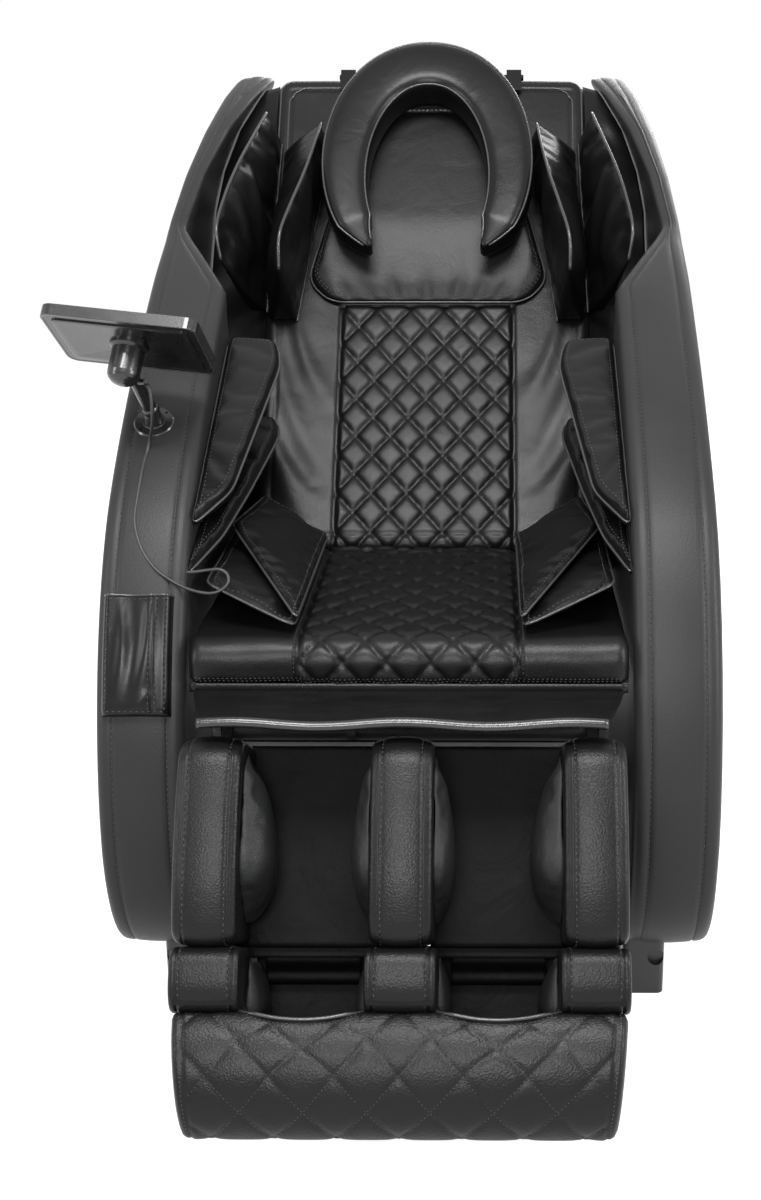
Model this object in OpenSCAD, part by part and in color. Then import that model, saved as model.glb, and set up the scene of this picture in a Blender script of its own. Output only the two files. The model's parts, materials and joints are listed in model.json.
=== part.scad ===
// Massage chair: fixed side shells and seat, reclining backrest with a travelling massage head,
// lifting leg rest with an extending foot section, and a tablet controller on a swivel arm.
// The chair is drawn about its middle plane (x = 0), with the floor at z = 0 and the crease
// between seat and backrest at y = 0, and is then moved so that its box stands on the origin.

/* [Side shells] */
// Width over the side shells
chair_w = 758; // [700:1:820]
// Thickness of a side shell at its rim
shell_t = 34; // [28:1:40]
// Wall of the side shell's outer face
shell_wall = 12; // [8:1:16]
// Width of the shell's rim
rim_w = 26; // [20:1:34]
// Height of the shells' lower edge above the floor
shell_z = 79; // [72:1:86]
// Thickness of the trim panel on a shell's outer face
trim_t = 4; // [3:1:6]
// Distance from the trim panel's edge to the shell's edge
trim_inset = 34; // [26:1:50]
// Width of an armrest box
arm_w = 76; // [66:1:82]
// Wall of an armrest box
arm_wall = 12; // [8:1:16]

/* [Seat] */
// Height of the seat's crease with the backrest
crease_z = 490; // [480:1:500]
// Height of the seat's front edge
seat_front_z = 503; // [496:1:512]
// Distance of the seat's front face ahead of the crease
seat_depth = 454; // [440:1:466]
// Width of the quilted middle of seat and back
quilt_w = 262; // [230:1:290]
// Height of the underside of the seat cushion
pan_z = 446; // [440:1:450]
// Thickness of the seat board
pan_t = 12; // [8:1:16]
// Square tube of the seat frame
seat_tube = 25; // [20:1:28]

/* [Backrest] */
// Lean of the backrest from the vertical
back_tilt = 37; // [33:1:41]
// Length of the backrest's upholstery
back_l = 838; // [820:1:850]
// Width of the backrest
back_w = 506; // [480:1:516]
// Thickness of the back pad
back_pad_t = 40; // [36:1:44]
// Depth from the pad's front to the rear cover
back_d = 172; // [165:1:190]
// Wall of the rear cover
cover_wall = 5; // [3:0.5:8]
// Radius of the backrest's pivot pins
pin_r = 8; // [6:0.5:9]

/* [Leg rest] */
// Lean of the leg rest from the vertical
leg_tilt = 30; // [27:1:33]
// Width of the leg rest
leg_w = 496; // [470:1:510]
// Width of each calf well
well_w = 142; // [130:1:146]
// Width of the middle calf pad
calf_mid_w = 70; // [64:1:76]
// Depth of the calf pads from plate to front
calf_d = 128; // [118:1:136]
// Length of the calf pads
calf_l = 225; // [212:1:232]
// Travel of the foot section
foot_travel = 150; // [100:1:155]
// Radius of the foot section's slide rods
slide_r = 10; // [8:0.5:12]

/* [Massage mechanism] */
// Radius of a massage roller
roller_r = 20; // [17:0.5:21]
// Distance between upper and lower roller shafts
roller_pitch = 150; // [140:1:170]
// Distance of the head's rest position above the crease
head_z = 300; // [290:1:380]
// Radius of the lead screw
screw_r = 7; // [5:0.5:8]

/* [Base] */
// Radius of a transport wheel
wheel_r = 30; // [26:1:31]
// Width of a transport wheel
wheel_w = 22; // [18:1:26]
// Radius of the wheel axle
axle_r = 6; // [5:0.5:7]
// Radius of an actuator rod
rod_r = 9; // [7:0.5:11]
// Vertical distance from a pivot to its actuator rod
lever_h = 150; // [140:1:156]

/* [Controller] */
// Length of the tablet
tablet_w = 192; // [180:1:204]
// Height of the tablet
tablet_h = 134; // [120:1:138]
// Thickness of the tablet
tablet_t = 14; // [11:1:16]
// Lean of the tablet's top towards the front
tablet_lean = 57; // [50:1:60]
// Turn of the tablet towards the sitter
tablet_turn = 6; // [0:1:12]
// Radius of the clamp nut behind the tablet
clamp_r = 20; // [18.5:0.5:22]
// Radius of the ball on the tablet arm
ball_r = 12; // [10:0.5:13]
// Diameter of the tablet's cable
cable_d = 4; // [3:0.5:4.5]

/* [Hidden] */
$fn = 48;

// Gaps: running fit of a pin, and clearance between soft or curved faces
run = 0.05;
gap = 0.4;

// Where the chair's middle plane and crease stand in the part's frame
origin_x = 31.5;
origin_y = 78.3;

black = [0.06, 0.06, 0.06];
steel = [0.55, 0.56, 0.58];
grey = [0.25, 0.25, 0.26];

shell_out = chair_w / 2 - trim_t;
shell_in = chair_w / 2 - shell_t;
arm_in = shell_in - arm_w;
seat_w = 2 * (arm_in - 6);
seat_front = -seat_depth;
tube_z = pan_z - pan_t;
back_hinge = [60, -20];
leg_hinge = [-425, 380];
frame_x = 235;
lug_t = 8;
lug_x = frame_x - lug_t + 1;

// ---------- geometry helpers ----------

function unit(v) = v / norm(v);
function turn(p, a) = [p[0] * cos(a) - p[1] * sin(a), p[0] * sin(a) + p[1] * cos(a)];
function bez(p, t) = p[0] * pow(1 - t, 3) + 3 * p[1] * t * pow(1 - t, 2)
    + 3 * p[2] * t * t * (1 - t) + p[3] * pow(t, 3);
function curve(p, n) = [for (i = [0:n - 1]) bez(p, i / n)];
function arc_at(a, b, c, r, n) =
    let (u = unit(a - b), w = unit(c - b), half = acos(u * w) / 2, d = r / tan(half),
         o = b + unit(u + w) * r / sin(half), s = b + u * d - o, e = b + w * d - o)
    [for (i = [0:n]) o + unit(s * (1 - i / n) + e * i / n) * r];
// Closed outline with each corner rounded by r (a number, or one radius per corner)
function rounded(p, r, n = 4) = [for (i = [0:len(p) - 1])
    each arc_at(p[(i + len(p) - 1) % len(p)], p[i], p[(i + 1) % len(p)], is_list(r) ? r[i] : r, n)];
// Closed counter-clockwise outline moved inwards by d
function inset(p, d) = [for (i = [0:len(p) - 1])
    let (t = unit(p[(i + 1) % len(p)] - p[(i + len(p) - 1) % len(p)])) p[i] + d * [-t[1], t[0]]];
function middle(p) = [for (k = [0:1]) (max([for (v = p) v[k]]) + min([for (v = p) v[k]])) / 2];

// A y-z outline extruded from x0 to x1
module along_x(x0, x1) {
    translate([x0, 0, 0]) rotate([90, 0, 90]) linear_extrude(x1 - x0) children();
}
// A cylinder along x through [y, z]
module rod_x(x0, x1, yz, r) {
    translate([x0, yz[0], yz[1]]) rotate([0, 90, 0]) cylinder(r = r, h = x1 - x0);
}
module box(x, y, z) {
    translate([x[0], y[0], z[0]]) cube([x[1] - x[0], y[1] - y[0], z[1] - z[0]]);
}
module both_sides() {
    children();
    mirror([1, 0, 0]) children();
}
module side(s) {
    if (s > 0) children();
    else mirror([1, 0, 0]) children();
}
module placed() {
    translate([origin_x, origin_y, 0]) children();
}
module on_back() {
    translate([0, 0, crease_z]) rotate([-back_tilt, 0, 0]) children();
}
module on_leg() {
    translate([0, leg_hinge[0], leg_hinge[1]]) rotate([-leg_tilt, 0, 0]) children();
}
function back_point(yz) = turn(yz, -back_tilt) + [0, crease_z];

// Stuffed pad: an outline in x-y, swelling to thickness t, with its edges drawn in to a seam.
// A flat pad lies on z = 0; any other is centred on it.
module stuffed(outline, t, flat = false, edge = 0.16, crown = 0.18, levels = 4) {
    c = middle(outline);
    n = len(outline);
    first = flat ? 0 : -levels;
    count = levels - first;
    rings = [for (k = [first:levels]) let (a = 90 * k / levels, s = 1 - edge * (1 - cos(a)))
        [for (p = outline) [c[0] + (p[0] - c[0]) * s, c[1] + (p[1] - c[1]) * s,
            (flat ? t : t / 2) * (1 - crown) * sin(a)]]];
    low = flat ? 0 : -t / 2;
    high = flat ? t : t / 2;
    points = [for (ring = rings) each ring, [c[0], c[1], low], [c[0], c[1], high]];
    polyhedron(points, [
        for (k = [0:count - 1]) for (i = [0:n - 1]) let (j = (i + 1) % n)
            each [[k * n + i, (k + 1) * n + i, (k + 1) * n + j], [k * n + i, (k + 1) * n + j, k * n + j]],
        for (i = [0:n - 1]) let (j = (i + 1) % n)
            each [[i, j, (count + 1) * n], [count * n + j, count * n + i, (count + 1) * n + 1]]]);
}

// Quilted cushion: x stations across, a path of [a, b] points along it, and a flat base at b0.
// Puffs rise between diamond channels where the station lies in the quilted middle.
diamond = 4;
function quilt(i, j, i0, i1, j1) = (i < i0 || i > i1 || j > j1) ? 0
    : ((i - i0 + j) % diamond == 0 || (i - i0 - j + 100 * diamond) % diamond == 0) ? 0 : 1;
module quilted(xs, path, b0, i0, i1, j1, puff, swell, narrow = 0) {
    nx = len(xs);
    ny = len(path);
    half = max(xs);
    function out(j) = let (t = unit(path[min(j + 1, ny - 1)] - path[max(j - 1, 0)])) [-t[1], t[0]];
    function rise(i, j) = let (rim = i == 0 || i == nx - 1 || j == 0 || j == ny - 1)
        rim ? 0 : swell * cos(60 * xs[i] / half) + puff * quilt(i, j, i0, i1, j1);
    function draw_in(j) = let (t = j / (ny - 1))
        1 - (narrow > 0 ? narrow * pow(1 - t, 2) : 0.012 * sin(180 * t));
    top = [for (j = [0:ny - 1]) for (i = [0:nx - 1]) let (q = path[j] + out(j) * rise(i, j))
        [xs[i] * draw_in(j), q[0], q[1]]];
    ring = [each [for (i = [0:nx - 2]) i], each [for (j = [0:ny - 2]) j * nx + nx - 1],
        each [for (i = [nx - 1:-1:1]) (ny - 1) * nx + i], each [for (j = [ny - 1:-1:1]) j * nx]];
    m = len(ring);
    base = [for (k = ring) [top[k][0], top[k][1], b0]];
    centre = [0, (path[0][0] + path[ny - 1][0]) / 2, b0];
    nt = nx * ny;
    polyhedron([each top, each base, centre], [
        for (j = [0:ny - 2]) for (i = [0:nx - 2]) let (a = j * nx + i, b = a + 1, c = a + nx + 1, d = a + nx)
            each ((i - i0 + j + 1) % diamond == 0 ? [[a, d, b], [b, d, c]] : [[a, c, b], [a, d, c]]),
        for (k = [0:m - 1]) let (l = (k + 1) % m)
            each [[ring[k], ring[l], nt + l], [ring[k], nt + l, nt + k], [nt + k, nt + l, nt + m]]]);
}
// Stations: a few over each plain side panel, and `cells` over the quilted middle
function stations(w, middle_w, cells, plain) = [
    for (i = [0:plain - 1]) -w / 2 + (w - middle_w) / 2 * i / plain,
    for (i = [0:cells]) -middle_w / 2 + middle_w * i / cells,
    for (i = [1:plain]) middle_w / 2 + (w - middle_w) / 2 * i / plain];

// ---------- side shells and armrests ----------

// Front and top edge of a shell, from the lower front corner to the kink behind the armrest
function front_edge(n) = concat(
    curve([[-380, shell_z], [-430, shell_z], [-478, 145], [-484, 240]], n),
    curve([[-484, 240], [-488, 360], [-440, 515], [-350, 620]], n),
    curve([[-350, 620], [-280, 702], [-50, 855], [141, 945]], n));
shell_outline = concat(front_edge(7),
    curve([[141, 945], [230, 1000], [400, 1108], [540, 1154]], 6),
    curve([[540, 1154], [595, 1169], [632, 1128], [636, 1036]], 5),
    curve([[636, 1036], [630, 760], [570, 330], [400, shell_z]], 8));
arm_rear = 150;
arm_outline = concat(front_edge(7), [[141, 945], [arm_rear, 948], [arm_rear, shell_z]]);
// Outer and inner face of a shell seen from the front: it leans inwards at the top
lean_z = [880, 950, 1010, 1074, 1125, 1172];
lean_out = [0, 3, 10, 23, 38, 60];
lean_in = [0, 0, 8, 26, 50, 80];
function shell_face(x, lean, d) = [for (i = [0:5]) [x - lean[i] - d, lean_z[i]]];

module shell_slab(x_out, x_in, d) {
    profile = concat([[x_in, shell_z - 1], [x_out - d, shell_z - 1]], shell_face(x_out, lean_out, d),
        [for (i = [5:-1:0]) [x_in - lean_in[i], lean_z[i]]]);
    translate([0, 700, 0]) rotate([90, 0, 0]) linear_extrude(1300) polygon(profile);
}
module side_shell(s) placed() side(s) color(black) difference() {
    intersection() {
        along_x(200, 400) polygon(shell_outline);
        shell_slab(shell_out, shell_in, 0);
    }
    intersection() {
        along_x(190, 400) polygon(inset(shell_outline, -rim_w));
        shell_slab(shell_out, shell_in - 90, shell_wall);
    }
}
module side_panels() placed() color(black) both_sides() intersection() {
    along_x(shell_out, shell_out + trim_t) polygon(inset(shell_outline, -trim_inset));
    along_x(300, 400) polygon(concat([[-600, 0], [-600, 600], [-150, 780]],
        curve([[-110, 800], [60, 900], [330, 890], [560, 690]], 10), [[700, 560], [700, 0]]));
}
// Rear corner of the armrest, cut away towards the shell
kink = [[arm_in, 0], [shell_in, 136]];
module arm_plan(d) {
    linear_extrude(1200) polygon([[arm_in + d, -600], [arm_in + d, kink[0][1] - d],
        [shell_in, kink[1][1] - d], [shell_in, -600]]);
}
module armrest(s) placed() side(s) color(black) difference() {
    intersection() {
        along_x(arm_in, shell_in) polygon(arm_outline);
        arm_plan(0);
    }
    intersection() {
        along_x(arm_in, shell_in + 1) polygon(inset(arm_outline, -arm_wall));
        translate([0, 0, shell_z + arm_wall]) arm_plan(arm_wall);
    }
}
// Pocket sewn on the left band: a sheet stands off the band and is closed below and at its sides
pocket_x = [-366, -283];
pocket_t = 3;
pocket_gap = 13;
pocket_steps = 6;
function band_point(t) = bez([[-484, 240], [-488, 360], [-440, 515], [-350, 620]], t);
function band_out(t) = let (v = unit(band_point(t + 0.01) - band_point(t - 0.01))) [-v[1], v[0]];
function band_strip(t0, t1, low, high) = concat(
    [for (i = [0:pocket_steps]) let (t = t0 + (t1 - t0) * i / pocket_steps)
        band_point(t) + low * band_out(t)],
    [for (i = [pocket_steps:-1:0]) let (t = t0 + (t1 - t0) * i / pocket_steps)
        band_point(t) + high * band_out(t)]);
module remote_pocket() placed() color(black) difference() {
    along_x(pocket_x[0], pocket_x[1]) polygon(band_strip(0.44, 0.78, gap, pocket_gap + pocket_t));
    along_x(pocket_x[0] + pocket_t, pocket_x[1] - pocket_t)
        polygon(band_strip(0.46, 0.8, -5, pocket_gap));
}

// ---------- base ----------

rail_w = 40;
rail_x = [frame_x - rail_w / 2, frame_x + rail_w / 2];
rail_z = [50, 90];
cross_z = [rail_z[1], rail_z[1] + 40];
tray_t = 5;
axle_y = 400;
axle_z = wheel_r + 2;
post = 30;
post_y = [-330, -30];
module base_frame() placed() color(grey) difference() {
    union() {
        both_sides() {
            box(rail_x, [-400, 430], rail_z);
            for (y = post_y) box([frame_x - post, frame_x], [y, y + post], [rail_z[1], tube_z - seat_tube]);
            box([frame_x - 10, frame_x + 20], [axle_y - 16, axle_y + 16], [axle_z - 15, rail_z[0]]);
        }
        for (y = [-400, 90]) box([-arm_in, arm_in], [y, y + 40], cross_z);
        box([-frame_x, frame_x], [-330, 360], [rail_z[1], rail_z[1] + tray_t]);
        box([-frame_x, frame_x], [390, 430], rail_z);
    }
    rod_x(-400, 400, [axle_y, axle_z], axle_r + run);
}
foot_w = 54;
foot_l = 98;
foot_y = -392;
module floor_feet() placed() color(black) both_sides() {
    difference() {
        translate([arm_in + 1, foot_y, 0]) linear_extrude(shell_z)
            polygon(rounded([[0, 0], [foot_w, 0], [foot_w, foot_l], [0, foot_l]], 9));
        translate([arm_in + 44, foot_y + 8, 52]) rotate([90, 0, 0]) cylinder(r = 11, h = 20);
    }
    box(rail_x, [320, 370], [0, rail_z[0]]);
}
wheel_x = frame_x + 21.4;
module wheel_axle() placed() color(steel)
    rod_x(-wheel_x - wheel_w - 4, wheel_x + wheel_w + 4, [axle_y, axle_z], axle_r);
module rear_wheel(s) placed() side(s) color(black) difference() {
    translate([wheel_x, axle_y, axle_z]) rotate([0, 90, 0]) rotate_extrude()
        polygon(rounded([[axle_r + run, 0], [wheel_r, 0], [wheel_r, wheel_w], [axle_r + run, wheel_w]],
            [0.5, 4, 4, 0.5]));
    for (a = [0:60:300]) translate([frame_x, axle_y, axle_z]) rotate([a, 0, 0]) translate([0, 0, 16])
        rotate([0, 90, 0]) cylinder(r = 4, h = wheel_w + 30);
}
hinge_b = back_point(back_hinge);
module lug(p, top) {
    along_x(lug_x, lug_x + lug_t) difference() {
        union() {
            translate(p) circle(r = 18);
            polygon(top);
        }
        translate(p) circle(r = pin_r + run);
    }
}
seat_tube_y = [seat_front + 9, 5];
module seat_frame() placed() color(grey) {
    both_sides() {
        box([frame_x - post, frame_x], seat_tube_y, [tube_z - seat_tube, tube_z]);
        lug(hinge_b, [[-30, tube_z - seat_tube], [hinge_b[0], hinge_b[1] - 18],
            [hinge_b[0] - 12, hinge_b[1] + 13], [-30, tube_z]]);
        lug(leg_hinge, [[leg_hinge[0] - 17, tube_z - seat_tube + 1], [leg_hinge[0] - 17, leg_hinge[1]],
            [leg_hinge[0] + 17, leg_hinge[1]], [leg_hinge[0] + 17, tube_z - seat_tube + 1]]);
    }
    for (y = [seat_tube_y[0], seat_tube_y[1] - seat_tube])
        box([-frame_x + 1, frame_x - 1], [y, y + seat_tube], [tube_z - seat_tube, tube_z]);
}
module seat_pan() placed() color("tan")
    translate([0, 0, tube_z]) linear_extrude(pan_t) polygon(rounded([[-frame_x, seat_tube_y[0]],
        [frame_x, seat_tube_y[0]], [frame_x, -31], [-frame_x, -31]], 12));
torque_x = frame_x - 9;
pin_x = [torque_x - 30, frame_x + 5];
module pivot_pins() placed() color(steel) both_sides()
    for (p = [hinge_b, leg_hinge]) rod_x(pin_x[0], pin_x[1], p, pin_r);

// ---------- actuators: a rod slides level and its fork pin drives a slotted lever ----------

recline_x = 70;
legrest_x = -70;
back_lever = 15.5;
leg_lever = 25;
slot_w = 17;
pin_f = 6;
recline_pin = [hinge_b[0] + lever_h * tan(back_lever), hinge_b[1] - lever_h];
legrest_pin = [leg_hinge[0] + lever_h * tan(leg_lever), leg_hinge[1] - lever_h];
// Slotted lever about [0, 0], hanging at an angle from straight down
module lever(a, x) {
    along_x(x - 5, x + 5) rotate(a) difference() {
        union() {
            circle(r = 24);
            polygon([[-16, 0], [-16, -lever_h - 22], [-10, -lever_h - 32], [10, -lever_h - 32],
                [16, -lever_h - 22], [16, 0]]);
        }
        polygon(rounded([[-slot_w / 2, -lever_h - 26], [slot_w / 2, -lever_h - 26],
            [slot_w / 2, -lever_h + 12], [-slot_w / 2, -lever_h + 12]], slot_w / 2 - 0.1));
    }
}
rod_l = 230;
// Rod with its fork and pin; towards = 1 where the motor lies to the rear of the pin
module actuator_rod(x, pin, towards) {
    placed() translate([x, pin[0], pin[1]]) scale_y(towards) color(steel) {
        for (x0 = [-13, 6]) box([x0, x0 + 7], [-11, 27], [-11, 11]);
        rod_x(-13, 13, [0, 0], pin_f);
        box([-13, 13], [26, 38], [-11, 11]);
        translate([0, 37, 0]) rotate([-90, 0, 0]) cylinder(r = rod_r, h = rod_l - 37);
    }
}
module scale_y(s) {
    if (s > 0) children();
    else mirror([0, 1, 0]) children();
}
tube_l = 225;
// Motor with its guide tube, gear housing and foot; the tube's mouth lies `mouth` from the pin
module actuator_motor(x, pin, towards, mouth) {
    placed() translate([x, pin[0], pin[1]]) scale_y(towards) color(grey) difference() {
        union() {
            translate([0, mouth, 0]) rotate([-90, 0, 0]) cylinder(r = rod_r + 8, h = tube_l);
            box([-32, 32], [mouth + tube_l - 30, mouth + tube_l + 30], [-30, 34]);
            translate([0, mouth + tube_l, cross_z[0] + tray_t - pin[1]])
                cylinder(r = 25, h = pin[1] - cross_z[0] - tray_t - 29);
            box([-34, 34], [mouth + tube_l - 30, mouth + tube_l + 30],
                [cross_z[0] + tray_t - pin[1], cross_z[0] + 2 * tray_t - pin[1]]);
        }
        translate([0, mouth - 1, 0]) rotate([-90, 0, 0]) cylinder(r = rod_r + run, h = tube_l - 8);
    }
}
recline_mouth = 148;
legrest_mouth = 43;
module recline_motor() actuator_motor(recline_x, recline_pin, -1, recline_mouth);
module recline_rod() actuator_rod(recline_x, recline_pin, -1);
module legrest_motor() actuator_motor(legrest_x, legrest_pin, 1, legrest_mouth);
module legrest_rod() actuator_rod(legrest_x, legrest_pin, 1);

// ---------- air pump, control box and power inlet ----------

tray_z = rail_z[1] + tray_t;
module block(x, y, z, r) {
    translate([0, 0, z[0]]) linear_extrude(z[1] - z[0])
        polygon(rounded([[x[0], y[0]], [x[1], y[0]], [x[1], y[1]], [x[0], y[1]]], r));
}
module air_pump() placed() color(grey) {
    block([-110, 110], [140, 310], [tray_z, tray_z + 90], 14);
    for (x = [-80:40:80]) translate([x, 225, tray_z + 89]) cylinder(r = 9, h = 20);
    block([-70, 70], [160, 200], [tray_z + 89, tray_z + 104], 8);
}
module control_box() placed() color(black) {
    block([-200, -20], [-25, 80], [tray_z, tray_z + 60], 6);
    for (x = [-180:20:-40]) box([x, x + 4], [-20, 75], [tray_z + 59, tray_z + 66]);
}
inlet_x = [-180, -90];
inlet_y = [390, 430];
inlet_z = [rail_z[1], rail_z[1] + 60];
rocker = [-104, 420, rail_z[1] + 30];
rocker_w = 18;
module power_inlet() placed() color(black) difference() {
    union() {
        block(inlet_x, inlet_y, inlet_z, 4);
        for (x = [-160, -150, -140]) box([x - 1, x + 1], [inlet_y[1] - 20, inlet_y[1] - 4],
            [rocker[2] - 4, rocker[2] + 4]);
    }
    difference() {
        box([-164, -136], [inlet_y[1] - 18, inlet_y[1] + 1], [rocker[2] - 11, rocker[2] + 11]);
        for (x = [-160, -150, -140]) box([x - 1, x + 1], [inlet_y[1] - 20, inlet_y[1] - 4],
            [rocker[2] - 4, rocker[2] + 4]);
    }
    box([rocker[0] - rocker_w / 2 - 1, rocker[0] + rocker_w / 2 + 1], [rocker[1] - 9, inlet_y[1] + 1],
        [rocker[2] - 12, rocker[2] + 12]);
    rod_x(rocker[0] - rocker_w / 2 - 4, rocker[0] + rocker_w / 2 + 4, [rocker[1], rocker[2]], 2 + run);
}
module power_switch() placed() color("darkred") translate(rocker) rotate([-8, 0, 0]) {
    along_x(-rocker_w / 2, rocker_w / 2) polygon([[-6, -7], [8, -9.5], [5.5, 0], [8, 9.5], [-6, 7]]);
    rod_x(-rocker_w / 2 - 3, rocker_w / 2 + 3, [0, 0], 2);
}

// ---------- seat and fixed pads ----------

roll_r = 32;
seat_cells = 27;
seat_path = concat([[seat_front + 6, pan_z + 8]],
    [for (a = [200:-22:91]) [seat_front + roll_r + roll_r * cos(a), seat_front_z - roll_r + roll_r * sin(a)]],
    [for (i = [0:seat_cells]) [seat_front + roll_r + (-22 - seat_front - roll_r) * i / seat_cells,
        seat_front_z + (crease_z + 1 - seat_front_z) * i / seat_cells]]);
quilt_cells = 20;
plain_cells = 2;
module seat_cushion() placed() color(black)
    quilted(stations(seat_w, quilt_w, quilt_cells, plain_cells), seat_path, pan_z + 0.3, plain_cells,
        plain_cells + quilt_cells, 99, 6, 5);
skirt_w = [258, 227];
skirt_t = 4;
skirt_path = [[seat_front + 8.5, pan_z - 7], [-480, 439], [-530, 443], [-592, 451]];
module skirt_flap() placed() color(black) intersection() {
    along_x(-300, 300) polygon(concat(skirt_path, [for (i = [3:-1:0]) skirt_path[i] + [0, skirt_t]]));
    linear_extrude(600) polygon([[-skirt_w[0], skirt_path[0][0]], [-skirt_w[1], skirt_path[3][0]],
        [skirt_w[1], skirt_path[3][0]], [skirt_w[0], skirt_path[0][0]]]);
}
arm_pad_t = 26;
module arm_pad(s, y, z, slope, outline) placed() side(s) color(black)
    translate([arm_in - gap, y, z]) rotate([slope, 0, 0])
        stuffed(rounded(outline, 14, 3), arm_pad_t, levels = 2);
module arm_pad_upper(s)
    arm_pad(s, -5, 796, 27.8, [[0, 0], [-70, -8], [-78, -60], [-42, -320], [0, -386]]);
module arm_pad_lower(s)
    arm_pad(s, -8, 684, 17.3, [[0, 0], [-66, -4], [-72, -50], [-50, -200], [-30, -310], [0, -396]]);
hip_pad_t = 14;
module hip_pad(s, z, rise, outline) placed() side(s) color(black)
    translate([quilt_w / 2, 0, z]) rotate([0, -rise, 0])
        stuffed(rounded(outline, 8, 2), hip_pad_t, levels = 2);
module hip_pad_lower(s)
    hip_pad(s, seat_front_z + 10, 20, [[6, -430], [124, -385], [126, -60], [6, -60]]);
module hip_pad_upper(s)
    hip_pad(s, seat_front_z + 20.8, 28, [[3, -430], [126, -208], [108, -5], [3, -45]]);

// ---------- backrest ----------

// Slab with an x-z outline, from y0 to y1
module slab_y(y0, y1) {
    translate([0, y1, 0]) rotate([90, 0, 0]) linear_extrude(y1 - y0) children();
}
tube_y = [84, 110];
tube_x = [185, 210];
cross_b = [[40, 60], [772, 797]];
module back_frame() {
    placed() on_back() color(grey) difference() {
        union() {
            rod_x(-torque_x, torque_x, back_hinge, 16);
            both_sides() {
                box(tube_x, tube_y, [-30, 807]);
                along_x(tube_x[0], tube_x[1] - 5) {
                    translate(back_hinge) circle(r = 24);
                    polygon([[44, -38], [tube_y[0] + 5, -40], [tube_y[0] + 5, 60], [tube_y[0], 60],
                        [40, -8]]);
                }
            }
            for (z = cross_b) box([-tube_x[1] + 1, tube_x[1] - 1], [tube_y[1], tube_y[1] + 22], z);
        }
        both_sides() rod_x(pin_x[0] - 4, 400, back_hinge, pin_r + run);
    }
    placed() color(grey) translate([0, hinge_b[0], hinge_b[1]]) difference() {
        lever(back_lever, recline_x);
        rod_x(-100, 100, [0, 0], 15.9);
    }
}
cover_z = [30, 824];
cover_y = back_pad_t + gap;
module cover_outline(d) {
    polygon(rounded([[-back_w / 2 + d, cover_z[0] + d], [back_w / 2 - d, cover_z[0] + d],
        [back_w / 2 - d, cover_z[1] - d], [-back_w / 2 + d, cover_z[1] - d]],
        [20, 20, 60 - d, 60 - d]));
}
module back_cover() placed() on_back() color(black) {
    difference() {
        slab_y(cover_y, back_d) cover_outline(0);
        slab_y(cover_y - 1, back_d - cover_wall) cover_outline(cover_wall);
        box([-tube_x[1] - 8, tube_x[1] + 8], [cover_y - 1, 140], [cover_z[0] - 5, cover_z[0] + 15]);
    }
    for (x = [-150, 150], z = cross_b) translate([x, back_d - 2, (z[0] + z[1]) / 2]) rotate([90, 0, 0])
        cylinder(r = 8, h = back_d - 2 - tube_y[1] - 22);
}
back_pitch = 15;
back_quilt = 26;
back_path = concat([[12, -16], [16, -3]], [for (i = [1:back_quilt]) [16 + back_pitch * i, 0]],
    [for (i = [0:7]) [409.5 + (back_l - 419.5) * i / 7, 0]], [[back_l - 2, -8], [back_l, -22]]);
module back_pad() placed() on_back() rotate([90, 0, 0]) color(black)
    quilted(stations(back_w, quilt_w, quilt_cells, plain_cells), back_path, -back_pad_t, plain_cells,
        plain_cells + quilt_cells, back_quilt + 1, 7, 4);
head_pad_b = 4.6;
head_pad_t = 32;
module head_pad() placed() on_back() rotate([90, 0, 0]) translate([0, 0, head_pad_b]) color(black)
    stuffed(rounded([[-150, 411], [150, 411], [186, 450], [150, 596], [120, 760], [-120, 760], [-150, 596],
        [-186, 450]], 18, 2), head_pad_t, flat = true, edge = 0.06, crown = 0.1, levels = 3);
// Neck pillow: an oval section swept round a U, thin at its tips, resting on the head pad
pillow_b = 73;
pillow_drop = (pillow_b - head_pad_b - head_pad_t + 1.6) / cos(18);
pillow_steps = 12;
function pillow_leg(t) = bez([[-84, 462], [-164, 548], [-130, 784], [0, 784]], t);
function pillow_mid(k) = k <= pillow_steps ? pillow_leg(k / pillow_steps)
    : let (p = pillow_leg(2 - k / pillow_steps)) [-p[0], p[1]];
function pillow_half(k) = let (t = 1 - abs(k - pillow_steps) / pillow_steps) 12 + 19 * pow(sin(90 * t), 0.8);
module neck_pillow() {
    count = 2 * pillow_steps;
    sides = 10;
    points = [for (k = [0:count]) let (p = pillow_mid(k), h = pillow_half(k),
        t = unit(pillow_mid(min(k + 1, count)) - pillow_mid(max(k - 1, 0))))
        for (a = [0:360 / sides:359]) [p[0] + t[1] * h * cos(a), p[1] - t[0] * h * cos(a),
            pillow_b + (sin(a) < 0 ? pillow_drop : 12 + 0.58 * h) * sin(a)]];
    ends = [[-80, 455, pillow_b], [80, 455, pillow_b]];
    n = len(points);
    placed() on_back() rotate([90, 0, 0]) color(black) polyhedron(concat(points, ends), [
        for (k = [0:count - 1]) for (i = [0:sides - 1])
            let (j = (i + 1) % sides, a = k * sides, b = a + sides)
            each [[a + i, a + j, b + j], [a + i, b + j, b + i]],
        for (i = [0:sides - 1]) let (j = (i + 1) % sides)
            each [[n, j, i], [n + 1, n - sides + i, n - sides + j]]]);
}
strap_x = [123, 147];
strap_t = 3;
module pillow_straps() placed() on_back() color(black) both_sides() {
    along_x(strap_x[0], strap_x[1]) polygon([[-9, back_l - 35], [-9 + strap_t, back_l - 35],
        [-9 + strap_t, back_l + 2], [100, back_l + 2], [100, cover_z[1]], [100 + strap_t, cover_z[1]],
        [100 + strap_t, back_l + 2 + strap_t], [-9, back_l + 2 + strap_t]]);
    box([strap_x[0] - 4, strap_x[1] + 4], [10, 34], [back_l + strap_t + 1, back_l + 7 + strap_t]);
}
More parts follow.
